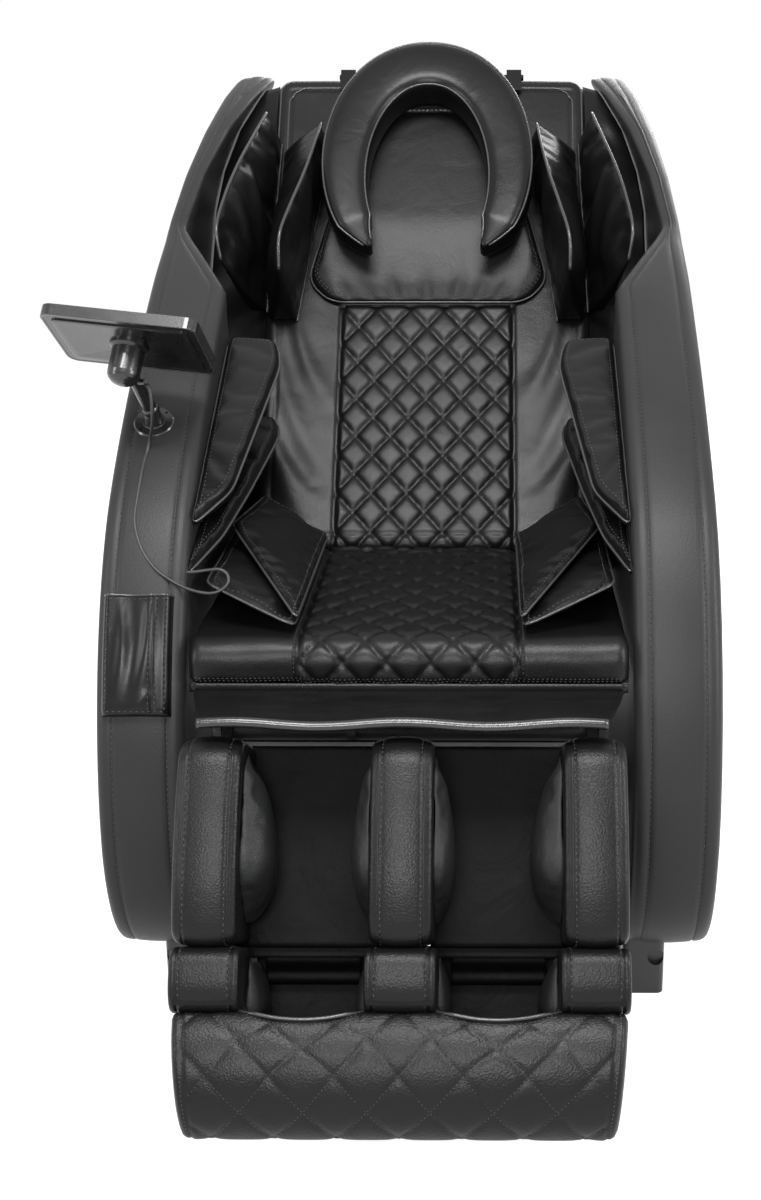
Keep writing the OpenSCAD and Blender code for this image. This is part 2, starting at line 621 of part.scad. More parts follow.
// Shoulder cushion: a wedge whose base stands `low` above the back pad between xa and xb, from z[0]
// down to z[1], and whose free edge follows the given points; its two faces swell by puff
wedge_rows = 8;
function along(p, t) = let (k = min(floor(t * (len(p) - 1)), len(p) - 2), u = t * (len(p) - 1) - k)
    p[k] * (1 - u) + p[k + 1] * u;
module wedge(xa, xb, z, edge, puff, low) {
    base = -low;
    rows = [for (k = [0:wedge_rows]) let (t = k / wedge_rows, e = along(edge, t),
        a = [xa[0] * (1 - t) + xa[1] * t, base, z[0] * (1 - t) + z[1] * t],
        b = [xb[0] * (1 - t) + xb[1] * t, base, a[2]], g = sin(180 * (0.08 + 0.84 * t)))
        [a, for (u = [1 / 3, 2 / 3]) a * (1 - u) + e * u + [-puff[0] * g * sin(180 * u), 0, 0],
            e, for (u = [2 / 3, 1 / 3]) b * (1 - u) + e * u + [puff[1] * g * sin(180 * u), 0, 0], b]];
    n = 7;
    polyhedron([for (r = rows) each r], [
        for (k = [0:wedge_rows - 1]) for (i = [0:n - 1]) let (j = (i + 1) % n, a = k * n, b = a + n)
            each [[a + i, a + j, b + j], [a + i, b + j, b + i]],
        for (i = [1:n - 2]) [0, i + 1, i],
        for (i = [1:n - 2]) let (a = wedge_rows * n) [a, a + i, a + i + 1]]);
}
module shoulder_pad_outer(s) placed() on_back() side(s) color(black)
    wedge([238, 247], [262, 270], [704, 396], [[257, -54, 724], [270, -88, 655], [285, -116, 585],
        [298, -136, 515], [305, -148, 450], [300, -124, 412]], [2, 14], 1);
module shoulder_pad_inner(s) placed() on_back() side(s) color(black)
    wedge([160, 200], [234, 243], [690, 380], [[170, -54, 704], [176, -84, 640], [186, -112, 570],
        [200, -136, 500], [212, -148, 440], [214, -124, 396]], [3, 8], 3.4);

// ---------- massage mechanism ----------

rail_in = 95;
rail_t = 20;
tongue = [91, 103];
module massage_rails() placed() on_back() color(steel) {
    both_sides() difference() {
        box([rail_in, rail_in + rail_t], tube_y, [45, 792]);
        box([rail_in - 1, rail_in + rail_t - 3], tongue, [44, 793]);
    }
    translate([0, tube_y[1] + 11, cross_b[0][1]]) cylinder(r = screw_r, h = cross_b[1][0] - cross_b[0][1]);
}
head_axis = 72;
shaft_y = 70;
module massage_carriage() placed() on_back() translate([0, 0, head_z]) color(grey) difference() {
    union() {
        box([-90, 90], [86, 104], [-45, 45]);
        box([-110, 110], [tongue[0] + gap, tongue[1] - gap], [-40, 40]);
        box([-18, 18], [103, tube_y[1] + 24], [-20, 20]);
        translate([55, 128, -42]) cylinder(r = 21, h = 84);
        box([38, 72], [103, 112], [-30, 30]);
        both_sides() box([40, 48], [63, 87], [-12, 12]);
        rod_x(-62, 62, [head_axis, 0], 6);
    }
    translate([0, tube_y[1] + 11, -50]) cylinder(r = screw_r + run, h = 100);
}
half_pitch = roller_pitch / 2;
module kneading_head() placed() on_back() translate([0, 0, head_z]) color(steel) difference() {
    union() {
        both_sides() box([52, 60], [58, 80], [-half_pitch - 12, half_pitch + 12]);
        box([-53, 53], [58, 61], [-30, 30]);
    }
    rod_x(-100, 100, [head_axis, 0], 6 + run);
    for (z = [-half_pitch, half_pitch]) rod_x(-100, 100, [shaft_y, z], 5 + run);
}
module rollers(z) placed() on_back() translate([0, 0, head_z]) color("tan") {
    rod_x(-92, 92, [shaft_y, z], 5);
    both_sides() translate([61, shaft_y, z]) rotate([0, 90, 0]) rotate_extrude()
        polygon(rounded([[3, 0], [roller_r, 0], [roller_r, 28], [3, 28]], [0.5, 9, 9, 0.5]));
}
module rollers_upper() rollers(half_pitch);
module rollers_lower() rollers(-half_pitch);

// ---------- leg rest ----------

pad_y = -58;
plate_t = 12;
calf_z = [-31 - calf_l, -31];
slide_x = 190;
slide_y = -28;
module legrest_frame() {
    placed() on_leg() color(grey) difference() {
        union() {
            rod_x(-torque_x, torque_x, [0, 0], 16);
            box([-leg_w / 2 + 2, leg_w / 2 - 2], [pad_y, pad_y + plate_t], [-246, -22]);
            both_sides() {
                along_x(torque_x - 12, torque_x) {
                    circle(r = 18);
                    polygon([[-8, 15], [-50, -44], [pad_y + plate_t - 2, -120], [-18, -120], [16, -6]]);
                }
                translate([slide_x, slide_y, -250]) cylinder(r = slide_r + 4, h = 175);
                box([slide_x - 6, slide_x + 6], [pad_y + plate_t - 1, slide_y - slide_r - 2], [-246, -80]);
            }
        }
        both_sides() {
            rod_x(pin_x[0] - 4, 400, [0, 0], pin_r + run);
            translate([slide_x, slide_y, -260]) cylinder(r = slide_r + run, h = 200);
        }
    }
    placed() color(grey) translate([0, leg_hinge[0], leg_hinge[1]]) difference() {
        lever(leg_lever, legrest_x);
        rod_x(-100, 100, [0, 0], 15.9);
    }
}
calf_side = calf_mid_w / 2 + well_w;
module calf_pad(x0, x1) placed() on_leg() rotate([90, 0, 0]) translate([0, 0, -pad_y + gap]) color(black)
    stuffed(rounded([[x0, calf_z[0]], [x1, calf_z[0]], [x1, calf_z[1]], [x0, calf_z[1]]], 16, 3), calf_d,
        flat = true, edge = 0.08, crown = 0.06, levels = 3);
module calf_pad_left() calf_pad(-leg_w / 2, -calf_side);
module calf_pad_middle() calf_pad(-calf_mid_w / 2, calf_mid_w / 2);
module calf_pad_right() calf_pad(calf_side, leg_w / 2);
// Air cushion standing on a wall at x, towards d, with a y-z outline
module air_bag(x, d, y, z, t) {
    translate([x, 0, 0]) mirror([d > 0 ? 0 : 1, 0, 0]) rotate([90, 0, 90])
        stuffed(rounded([[y[0], z[0]], [y[1], z[0]], [y[1], z[1]], [y[0], z[1]]], 24, 1), t, flat = true,
            edge = 0.2, levels = 3);
}
module calf_airbags() placed() on_leg() color(black) both_sides() {
    air_bag(calf_mid_w / 2 + gap, 1, [-172, -64], [-240, -50], 20);
    air_bag(calf_side - gap, -1, [-172, -64], [-240, -50], 32);
}
foot_z = -268;
foot_front = -128;
foot_wall = 12;
// What stays of a slide rod in its sleeve when the foot section is out
slide_grip = 43;
foot_well = [calf_mid_w / 2 + 4, calf_side - 4];
module foot_shell() placed() on_leg() color(black) difference() {
    union() {
        intersection() {
            along_x(-leg_w / 2, leg_w / 2) polygon(rounded([[foot_front, -461], [8, -382.5], [8, foot_z],
                [foot_front, foot_z]], [4, 10, 4, 2]));
            slab_y(-200, 100) polygon(rounded([[-leg_w / 2 + 22, -470], [leg_w / 2 - 22, -470],
                [leg_w / 2 - 6, -370], [leg_w / 2 - 6, foot_z + 1], [-leg_w / 2 + 6, foot_z + 1],
                [-leg_w / 2 + 6, -370]], [20, 20, 20, 4, 4, 20]));
        }
        box([-calf_mid_w / 2, calf_mid_w / 2], [-168, foot_front + 1], [-320, foot_z - 4]);
        both_sides() {
            box([calf_side, leg_w / 2 - 6], [-168, foot_front + 1], [-320, foot_z - 4]);
            translate([slide_x, slide_y, foot_z - 1]) cylinder(r = slide_r, h = foot_travel + slide_grip);
        }
    }
    both_sides() {
        along_x(foot_well[0], foot_well[1]) polygon(rounded([[foot_front + foot_wall, -440.5],
            [-foot_wall, -380.5], [-foot_wall, foot_z + 20], [foot_front + foot_wall, foot_z + 20]],
            [12, 12, 2, 2]));
        slab_y(foot_front - 1, foot_front + 30) polygon(rounded([[foot_well[0], -336], [foot_well[1], -336],
            [foot_well[1], foot_z + 20], [foot_well[0], foot_z + 20]], [20, 20, 2, 2]));
        rod_x(foot_well[0] + 6, foot_well[1] - 6, [-66, -405], 14.5);
    }
    rod_x(-190, 190, [-66, -405], 4 + run);
}
foot_rows = 12;
module foot_cover() placed() on_leg() rotate([90, 0, 0]) color(black)
    quilted(stations(leg_w - 4, leg_w - 16, 28, 1),
        concat([for (i = [0:foot_rows]) bez([[-463, 133], [-444, 184], [-365, 190], [-328, 160]],
            i / foot_rows)], [[-325, 142]]), -foot_front + gap, 1, 29, 99, 4, 3, 0.055);
module foot_airbags() placed() on_leg() color(black) both_sides() {
    air_bag(foot_well[0] + gap, 1, [-106, -22], [-368, foot_z], 13);
    air_bag(foot_well[1] - gap, -1, [-106, -22], [-368, foot_z], 13);
}
module sole_rollers() placed() on_leg() color(grey) {
    rod_x(-186, 186, [-66, -405], 4);
    both_sides() for (x = [foot_well[0] + 10:24:foot_well[1] - 26])
        translate([x, -66, -405]) rotate([0, 90, 0]) rotate_extrude()
            polygon(rounded([[2, 0], [13, 0], [13, 18], [2, 18]], [0.5, 5, 5, 0.5]));
}

// ---------- controller ----------

arm_x = -331;
band_a = bez([[-350, 620], [-280, 702], [-50, 855], [141, 945]], 2 / 7);
band_b = bez([[-350, 620], [-280, 702], [-50, 855], [141, 945]], 3 / 7);
band_dir = unit(band_b - band_a);
band_slope = atan2(band_dir[1], band_dir[0]);
flange_at = band_a + 30 * band_dir;
flange_r = 26;
flange_t = 7;
arm_r = 9;
neck_r = 7;
neck_from = 25;
neck_lean = -17;
neck_l = 81;
ball = [arm_x + neck_lean, flange_at[0] - (neck_from + neck_l) * band_dir[1],
    flange_at[1] + (neck_from + neck_l) * band_dir[0]];
module on_band() {
    translate([arm_x, flange_at[0], flange_at[1]]) rotate([band_slope, 0, 0]) children();
}
tablet_roll = 5;
module on_ball() {
    translate(ball) rotate([tablet_lean, tablet_roll, -tablet_turn]) children();
}
module tablet_flange() placed() on_band() color(black) difference() {
    rotate_extrude() polygon([[arm_r + run, 0], [flange_r, 0], [flange_r, 2], [flange_r - 2, 4],
        [arm_r + 6, 4.6], [arm_r + 5, flange_t], [arm_r + run, flange_t]]);
    for (a = [45:90:315]) rotate(a) translate([20.5, 0, -1]) cylinder(r = 2, h = 10);
}
// Straight bar between two points
module bar(p, q, r1, r2) {
    d = q - p;
    translate(p) rotate([0, acos(d[2] / norm(d)), atan2(d[1], d[0])]) cylinder(r1 = r1, r2 = r2, h = norm(d));
}
module tablet_arm() placed() color(black) {
    on_band() {
        translate([0, 0, gap]) cylinder(r = arm_r, h = neck_from - gap);
        translate([0, 0, flange_t + gap]) cylinder(r1 = 13, r2 = 9.5, h = neck_from - flange_t - gap);
        translate([0, 0, neck_from]) rotate([90, 0, 0]) sphere(r = 11);
        bar([0, 0, neck_from], [0.6 * neck_lean, 0, neck_from + 0.6 * neck_l], 9.6, neck_r + 0.5);
        bar([0, 0, neck_from], [neck_lean, 0, neck_from + neck_l], neck_r, neck_r);
        bar([0.6 * neck_lean, 0, neck_from + 0.6 * neck_l], [4, -8, neck_from + 0.7 * neck_l], 4.5, 3.5);
    }
    translate(ball) rotate([90, 0, 0]) sphere(r = ball_r);
}
tablet_back = 24;
screen_d = 0.8;
slot_x = 12.5;
module tablet() placed() on_ball() color(black) difference() {
    union() {
        slab_y(tablet_back, tablet_back + tablet_t) polygon(rounded([[-tablet_w / 2, -tablet_h / 2],
            [tablet_w / 2, -tablet_h / 2], [tablet_w / 2, tablet_h / 2], [-tablet_w / 2, tablet_h / 2]], 14));
        rotate([90, 0, 0]) translate([0, 0, -tablet_back - 0.5]) rotate_extrude()
            polygon(concat([[0, 0], [clamp_r + 4, 0], [clamp_r + 4, 5], [clamp_r, 8]],
                [for (a = [0:15:90]) [clamp_r * cos(a), tablet_back + 15 + 0.75 * clamp_r * sin(a)]]));
    }
    slab_y(tablet_back + tablet_t - screen_d, tablet_back + tablet_t + 1)
        polygon(rounded([[-tablet_w / 2 + 9, -tablet_h / 2 + 9], [tablet_w / 2 - 9, -tablet_h / 2 + 9],
            [tablet_w / 2 - 9, tablet_h / 2 - 9], [-tablet_w / 2 + 9, tablet_h / 2 - 9]], 3));
    sphere(r = ball_r + run);
    for (a = [-10:14.5:48]) rotate([-a, 0, 0]) rotate([0, -slot_x, 0])
        box([-neck_r - 1.6, neck_r + 1.6], [-neck_r - 1.6, neck_r + 1.6], [-70, 0]);
}
// Cable from the gland on the arm, down the band and into the armrest's inner wall
cable_points = [[-325, -287, 781], [-322, -290, 776], [-320, -292, 763], [-320, -291, 748], [-322, -285, 734],
    [-326, -276, 720], [-330, -269, 708], [-333, -271, 696], [-335, -285, 684], [-336, -301, 671],
    [-337, -320, 653], [-338, -338, 635], [-337, -350, 623], [-333, -361, 610], [-326, -372, 596],
    [-316, -382, 583], [-304, -390, 572], [-289, -396, 563], [-274, -401, 556], [-260, -405, 552],
    [-247, -408, 550], [-235, -409, 550], [-224, -407, 554], [-217, -403, 562], [-219, -399, 571],
    [-228, -397, 576], [-241, -396, 575], [-255, -396, 573], [-268, -396, 572]];
module cable(points, r, sides) {
    n = len(points);
    rings = [for (k = [0:n - 1]) let (t = unit(points[min(k + 1, n - 1)] - points[max(k - 1, 0)]),
        u = unit(cross(t, [0.2, 0.5, 1])), v = cross(t, u))
        for (a = [0:360 / sides:359]) points[k] + r * (cos(a) * u + sin(a) * v)];
    polyhedron(rings, [for (k = [0:n - 2]) for (i = [0:sides - 1]) let (j = (i + 1) % sides, a = k * sides,
            b = a + sides) each [[a + i, b + i, b + j], [a + i, b + j, a + j]],
        [for (i = [0:sides - 1]) i], [for (i = [sides - 1:-1:0]) (n - 1) * sides + i]]);
}
module tablet_cable() placed() color(black) cable(cable_points, cable_d / 2, 8);

base_frame();
floor_feet();
wheel_axle();
rear_wheel(-1);  // rear_wheel_left
rear_wheel(1);  // rear_wheel_right
seat_frame();
seat_pan();
pivot_pins();
side_shell(-1);  // side_shell_left
side_shell(1);  // side_shell_right
side_panels();
armrest(-1);  // armrest_left
armrest(1);  // armrest_right
remote_pocket();
seat_cushion();
skirt_flap();
arm_pad_upper(-1);  // arm_pad_upper_left
arm_pad_upper(1);  // arm_pad_upper_right
arm_pad_lower(-1);  // arm_pad_lower_left
arm_pad_lower(1);  // arm_pad_lower_right
hip_pad_upper(-1);  // hip_pad_upper_left
hip_pad_upper(1);  // hip_pad_upper_right
hip_pad_lower(-1);  // hip_pad_lower_left
hip_pad_lower(1);  // hip_pad_lower_right
air_pump();
control_box();
power_inlet();
power_switch();
recline_motor();
recline_rod();
legrest_motor();
legrest_rod();
back_frame();
back_cover();
massage_rails();
back_pad();
head_pad();
neck_pillow();
pillow_straps();
shoulder_pad_outer(-1);  // shoulder_pad_outer_left
shoulder_pad_outer(1);  // shoulder_pad_outer_right
shoulder_pad_inner(-1);  // shoulder_pad_inner_left
shoulder_pad_inner(1);  // shoulder_pad_inner_right
massage_carriage();
kneading_head();
rollers_upper();
rollers_lower();
legrest_frame();
calf_pad_left();
calf_pad_middle();
calf_pad_right();
calf_airbags();
foot_shell();
foot_cover();
foot_airbags();
sole_rollers();
tablet_flange();
tablet_arm();
tablet();
tablet_cable();
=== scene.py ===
"""Massage chair with black leather upholstery, dressed over its solid parts."""
import json
import math

import bpy
import numpy as np
from mathutils import Euler, Matrix, Vector, kdtree, noise
from mathutils.bvhtree import BVHTree
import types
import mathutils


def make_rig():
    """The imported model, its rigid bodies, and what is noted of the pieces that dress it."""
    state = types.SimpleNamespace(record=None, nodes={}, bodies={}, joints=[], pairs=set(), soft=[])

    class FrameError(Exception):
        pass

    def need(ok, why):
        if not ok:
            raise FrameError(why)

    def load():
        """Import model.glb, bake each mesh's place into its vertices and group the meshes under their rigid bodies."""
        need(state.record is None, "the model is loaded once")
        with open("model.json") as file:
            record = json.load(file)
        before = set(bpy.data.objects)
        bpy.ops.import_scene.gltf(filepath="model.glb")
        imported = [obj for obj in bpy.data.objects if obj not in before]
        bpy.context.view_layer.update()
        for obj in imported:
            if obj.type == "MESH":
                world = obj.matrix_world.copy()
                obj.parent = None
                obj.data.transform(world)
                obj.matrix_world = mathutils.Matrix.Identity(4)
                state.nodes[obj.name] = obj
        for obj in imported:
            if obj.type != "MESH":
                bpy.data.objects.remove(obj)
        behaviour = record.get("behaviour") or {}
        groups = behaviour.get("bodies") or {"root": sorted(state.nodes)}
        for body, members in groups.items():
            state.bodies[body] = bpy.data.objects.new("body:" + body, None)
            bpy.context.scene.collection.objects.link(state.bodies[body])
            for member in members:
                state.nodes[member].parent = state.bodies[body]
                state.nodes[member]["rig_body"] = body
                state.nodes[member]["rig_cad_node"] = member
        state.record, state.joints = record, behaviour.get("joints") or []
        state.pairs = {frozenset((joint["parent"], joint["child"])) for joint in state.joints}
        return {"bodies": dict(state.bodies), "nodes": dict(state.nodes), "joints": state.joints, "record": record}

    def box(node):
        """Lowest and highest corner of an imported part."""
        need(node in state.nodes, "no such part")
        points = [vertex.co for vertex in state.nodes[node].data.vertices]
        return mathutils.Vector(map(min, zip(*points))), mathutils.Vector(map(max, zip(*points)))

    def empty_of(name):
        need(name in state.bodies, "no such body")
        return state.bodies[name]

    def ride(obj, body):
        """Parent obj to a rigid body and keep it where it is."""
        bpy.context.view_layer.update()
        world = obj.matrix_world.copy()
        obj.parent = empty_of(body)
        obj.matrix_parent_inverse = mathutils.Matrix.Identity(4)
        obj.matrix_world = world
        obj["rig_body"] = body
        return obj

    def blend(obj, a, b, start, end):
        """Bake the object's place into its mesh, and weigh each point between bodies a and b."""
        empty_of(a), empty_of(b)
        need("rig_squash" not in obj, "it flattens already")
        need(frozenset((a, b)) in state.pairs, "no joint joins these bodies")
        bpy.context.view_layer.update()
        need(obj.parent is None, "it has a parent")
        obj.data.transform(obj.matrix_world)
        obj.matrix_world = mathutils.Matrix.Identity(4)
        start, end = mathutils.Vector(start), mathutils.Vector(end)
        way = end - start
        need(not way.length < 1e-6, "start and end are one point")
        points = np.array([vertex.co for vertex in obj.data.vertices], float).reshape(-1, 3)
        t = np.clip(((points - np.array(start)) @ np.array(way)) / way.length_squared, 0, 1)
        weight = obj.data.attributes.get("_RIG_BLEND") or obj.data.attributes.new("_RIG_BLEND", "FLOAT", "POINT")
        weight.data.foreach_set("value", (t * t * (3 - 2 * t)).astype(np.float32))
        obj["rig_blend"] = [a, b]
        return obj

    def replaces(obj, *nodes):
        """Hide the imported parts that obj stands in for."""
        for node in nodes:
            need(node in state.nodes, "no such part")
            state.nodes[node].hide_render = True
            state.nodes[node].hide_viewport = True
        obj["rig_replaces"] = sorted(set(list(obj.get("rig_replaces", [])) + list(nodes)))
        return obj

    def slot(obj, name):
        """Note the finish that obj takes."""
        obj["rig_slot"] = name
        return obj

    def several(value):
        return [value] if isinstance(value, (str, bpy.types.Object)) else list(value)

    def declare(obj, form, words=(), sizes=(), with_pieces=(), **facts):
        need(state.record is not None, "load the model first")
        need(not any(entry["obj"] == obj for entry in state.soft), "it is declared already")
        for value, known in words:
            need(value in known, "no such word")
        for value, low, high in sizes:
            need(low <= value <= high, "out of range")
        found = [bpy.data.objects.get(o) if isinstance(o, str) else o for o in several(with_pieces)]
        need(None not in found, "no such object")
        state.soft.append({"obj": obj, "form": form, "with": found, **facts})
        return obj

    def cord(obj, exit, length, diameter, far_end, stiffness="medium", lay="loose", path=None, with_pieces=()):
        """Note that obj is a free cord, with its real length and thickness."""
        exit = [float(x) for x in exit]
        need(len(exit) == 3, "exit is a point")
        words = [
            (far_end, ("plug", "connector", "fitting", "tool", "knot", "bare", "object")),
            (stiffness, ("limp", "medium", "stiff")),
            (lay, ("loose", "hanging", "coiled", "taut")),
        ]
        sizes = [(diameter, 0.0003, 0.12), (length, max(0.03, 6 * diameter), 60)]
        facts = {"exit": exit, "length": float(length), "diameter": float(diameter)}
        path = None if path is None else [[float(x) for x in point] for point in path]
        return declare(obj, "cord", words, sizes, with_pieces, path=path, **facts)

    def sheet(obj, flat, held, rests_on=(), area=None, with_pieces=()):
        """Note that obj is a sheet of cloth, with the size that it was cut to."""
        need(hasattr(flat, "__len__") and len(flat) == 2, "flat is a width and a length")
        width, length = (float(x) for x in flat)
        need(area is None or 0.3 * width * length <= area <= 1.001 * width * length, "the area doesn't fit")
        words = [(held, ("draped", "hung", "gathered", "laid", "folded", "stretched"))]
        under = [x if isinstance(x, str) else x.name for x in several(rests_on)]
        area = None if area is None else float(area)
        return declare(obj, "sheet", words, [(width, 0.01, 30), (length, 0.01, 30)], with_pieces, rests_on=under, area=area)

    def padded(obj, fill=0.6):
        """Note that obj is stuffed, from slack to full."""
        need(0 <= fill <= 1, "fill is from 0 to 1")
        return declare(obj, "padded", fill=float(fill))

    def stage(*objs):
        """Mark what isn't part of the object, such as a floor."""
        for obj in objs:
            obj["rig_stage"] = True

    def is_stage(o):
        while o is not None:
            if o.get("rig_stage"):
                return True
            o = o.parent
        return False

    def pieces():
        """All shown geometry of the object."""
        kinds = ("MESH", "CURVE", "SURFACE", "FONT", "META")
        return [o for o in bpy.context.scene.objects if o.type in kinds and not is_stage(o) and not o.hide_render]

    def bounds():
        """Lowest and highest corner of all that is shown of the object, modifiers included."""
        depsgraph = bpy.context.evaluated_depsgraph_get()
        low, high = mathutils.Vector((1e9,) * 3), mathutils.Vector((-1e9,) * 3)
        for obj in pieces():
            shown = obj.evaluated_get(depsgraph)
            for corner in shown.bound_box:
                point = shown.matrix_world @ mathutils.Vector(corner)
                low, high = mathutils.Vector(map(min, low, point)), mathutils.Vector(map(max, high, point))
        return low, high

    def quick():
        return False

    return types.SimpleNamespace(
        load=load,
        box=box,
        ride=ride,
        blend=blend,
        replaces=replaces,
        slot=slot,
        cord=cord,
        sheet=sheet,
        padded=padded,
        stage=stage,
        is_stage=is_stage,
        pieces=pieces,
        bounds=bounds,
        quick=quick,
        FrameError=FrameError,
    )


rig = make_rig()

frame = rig.load()
cad_low, cad_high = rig.bounds()
nodes = frame["nodes"]

# ---------- Datum ----------
# The chair is drawn in millimetres from its middle plane, the crease between seat and back, and the
# floor. The seat board is centred on the middle plane and its front edge lies 445 mm before the crease.
board_low, board_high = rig.box("seat_pan")
MIDDLE = (board_low[0] + board_high[0]) / 2
CREASE = board_low[1] + 0.445
CREASE_Z = 490
BACK_LEAN = math.radians(37)
LEG_HINGE = (-425, 380)
LEG_LEAN = math.radians(30)


def row(points):
    """Points in chair millimetres as metres, where the solids stand."""
    return np.asarray(points, float) * 0.001 + (MIDDLE, CREASE, 0)


def on_back(x, b, z):
    """Points given across the back, out of its face and up along it."""
    x, b, z = np.broadcast_arrays(np.asarray(x, float), b, z)
    s, c = math.sin(BACK_LEAN), math.cos(BACK_LEAN)
    return np.stack([x, z * s - b * c, CREASE_Z + z * c + b * s], -1)


def on_leg(x, b, z):
    """Points given across the leg rest, out of its face and up along it from its hinge."""
    x, b, z = np.broadcast_arrays(np.asarray(x, float), b, z)
    s, c = math.sin(LEG_LEAN), math.cos(LEG_LEAN)
    return np.stack([x, LEG_HINGE[0] - b * c + z * s, LEG_HINGE[1] + b * s + z * c], -1)


# ---------- Camera ----------
# A portrait lens at the height of the backrest, looking 17 degrees down, with its frame shifted
# so that the chair stands left of the lens axis.
FRAME_W, FRAME_H = 761, 1200
LENS_PX = 1580
AXIS_PX = 478
camera_data = bpy.data.cameras.new("camera")
camera_data.sensor_width = 36
camera_data.lens = 36 * LENS_PX / FRAME_H
camera_data.shift_x = (FRAME_W / 2 - AXIS_PX) / FRAME_H
camera_data.clip_end = 60
camera = bpy.data.objects.new("camera", camera_data)
camera.location = row((93.5, -2218, 1095))
camera.rotation_euler = (math.radians(90 - 17), 0, math.radians(0.36))
bpy.context.collection.objects.link(camera)
bpy.context.scene.camera = camera

# ---------- Cable ----------
# Four-millimetre rubber cable: out of the gland on the tablet's arm, down the band, in one loop,
# and into the armrest's inner face. It is a tube along the same route as its solid.
CABLE_D = 0.004
cable_points = [
    (-325, -287, 781), (-322, -290, 776), (-320, -292, 763), (-320, -291, 748), (-322, -285, 734),
    (-326, -276, 720), (-330, -269, 708), (-333, -271, 696), (-335, -285, 684), (-336, -301, 671),
    (-337, -320, 653), (-338, -338, 635), (-337, -350, 623), (-333, -361, 610), (-326, -372, 596),
    (-316, -382, 583), (-304, -390, 572), (-289, -396, 563), (-274, -401, 556), (-260, -405, 552),
    (-247, -408, 550), (-235, -409, 550), (-224, -407, 554), (-217, -403, 562), (-219, -399, 571),
    (-228, -397, 576), (-241, -396, 575), (-255, -396, 573), (-268, -396, 572)]
cable_path = row(cable_points)


def run_along(line):
    """The distance along a line at each of its points."""
    return np.r_[0, np.cumsum(np.linalg.norm(np.diff(line, axis=0), axis=1))]


def resample(points, step, closed=False):
    """The same line with points a steady distance apart."""
    points = np.asarray(points, float)
    if closed:
        points = np.vstack([points, points[:1]])
    run = run_along(points)
    count = max(2, int(round(run[-1] / step)) + 1)
    at = np.linspace(0, run[-1], count)
    out = np.stack([np.interp(at, run, points[:, k]) for k in range(points.shape[1])], -1)
    return out[:-1] if closed else out


def smooth_line(points, step):
    """A curve through points (centripetal spline) with a steady step."""
    p = np.asarray(points, float)
    p = np.vstack([2 * p[0] - p[1], p, 2 * p[-1] - p[-2]])
    out = []
    for k in range(1, len(p) - 2):
        for t in np.linspace(0, 1, 12, endpoint=False):
            a, b, c, d = p[k - 1:k + 3]
            out.append(0.5 * (2 * b + (c - a) * t + (2 * a - 5 * b + 4 * c - d) * t * t
                              + (3 * b - a - 3 * c + d) * t ** 3))
    out.append(p[-2])
    return resample(out, step)


def select_only(obj):
    bpy.ops.object.select_all(action="DESELECT")
    obj.select_set(True)
    bpy.context.view_layer.objects.active = obj


def finish_piece(name, verts, faces, material):
    """A smooth piece from points in chair millimetres, its double points joined and its faces turned out."""
    mesh = bpy.data.meshes.new(name)
    mesh.from_pydata([tuple(v) for v in row(verts)], [], [tuple(int(i) for i in f) for f in faces])
    mesh.update()
    obj = bpy.data.objects.new(name, mesh)
    bpy.context.collection.objects.link(obj)
    obj.data.materials.append(material)
    select_only(obj)
    bpy.ops.object.mode_set(mode="EDIT")
    bpy.ops.mesh.select_all(action="SELECT")
    bpy.ops.mesh.remove_doubles(threshold=1e-6)
    bpy.ops.mesh.normals_make_consistent(inside=False)
    bpy.ops.object.mode_set(mode="OBJECT")
    bpy.ops.object.shade_smooth()
    return obj


def skin(name, rings, material):
    """A closed skin over closed rings of points, each end gathered to the middle of its ring."""
    rings = np.asarray(rings, float)
    rows, cols, _ = rings.shape
    verts = np.vstack([rings.reshape(-1, 3), rings[0].mean(0), rings[-1].mean(0)])
    faces = [(r * cols + c, r * cols + (c + 1) % cols, (r + 1) * cols + (c + 1) % cols, (r + 1) * cols + c)
             for r in range(rows - 1) for c in range(cols)]
    last = (rows - 1) * cols
    for c in range(cols):
        d = (c + 1) % cols
        faces += [(d, c, rows * cols), (last + c, last + d, rows * cols + 1)]
    return finish_piece(name, verts, faces, material)


def unit(vectors):
    """Vectors brought to length one; a vector of no length stays as it is."""
    return vectors / np.maximum(np.linalg.norm(vectors, axis=-1, keepdims=True), 1e-9)


def tube(name, line, radius, material, sides=8, closed=False):
    """A round cord along a line, such as piping."""
    line = np.asarray(line, float)
    if closed:
        ahead, behind = np.roll(line, -1, 0), np.roll(line, 1, 0)
    else:
        ahead = np.vstack([line[1:], line[-1:]])
        behind = np.vstack([line[:1], line[:-1]])
    tangent = unit(ahead - behind)
    normal = np.cross(tangent[0], (0.31, 0.43, 0.85))
    angle = np.arange(sides) * 2 * math.pi / sides
    rings = []
    for p, t in zip(line, tangent):
        normal = unit(normal - t * normal.dot(t))
        side = np.cross(t, normal)
        rings.append(p + radius * (np.cos(angle)[:, None] * normal + np.sin(angle)[:, None] * side))
    rings = np.array(rings)
    if not closed:
        return skin(name, rings, material)
    rows = len(rings)
    faces = [(r * sides + c, r * sides + (c + 1) % sides, (r + 1) % rows * sides + (c + 1) % sides,
              (r + 1) % rows * sides + c) for r in range(rows) for c in range(sides)]
    return finish_piece(name, rings.reshape(-1, 3), faces, material)


def declare(piece, body, slot="black_leather", nodes_replaced=(), fill=None):
    """Names the body a piece rides on, its finish, the solids it stands for and how full it is."""
    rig.ride(piece, body)
    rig.slot(piece, slot)
    if nodes_replaced:
        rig.replaces(piece, *nodes_replaced)
    if fill is not None:
        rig.padded(piece, fill=fill)
    return piece


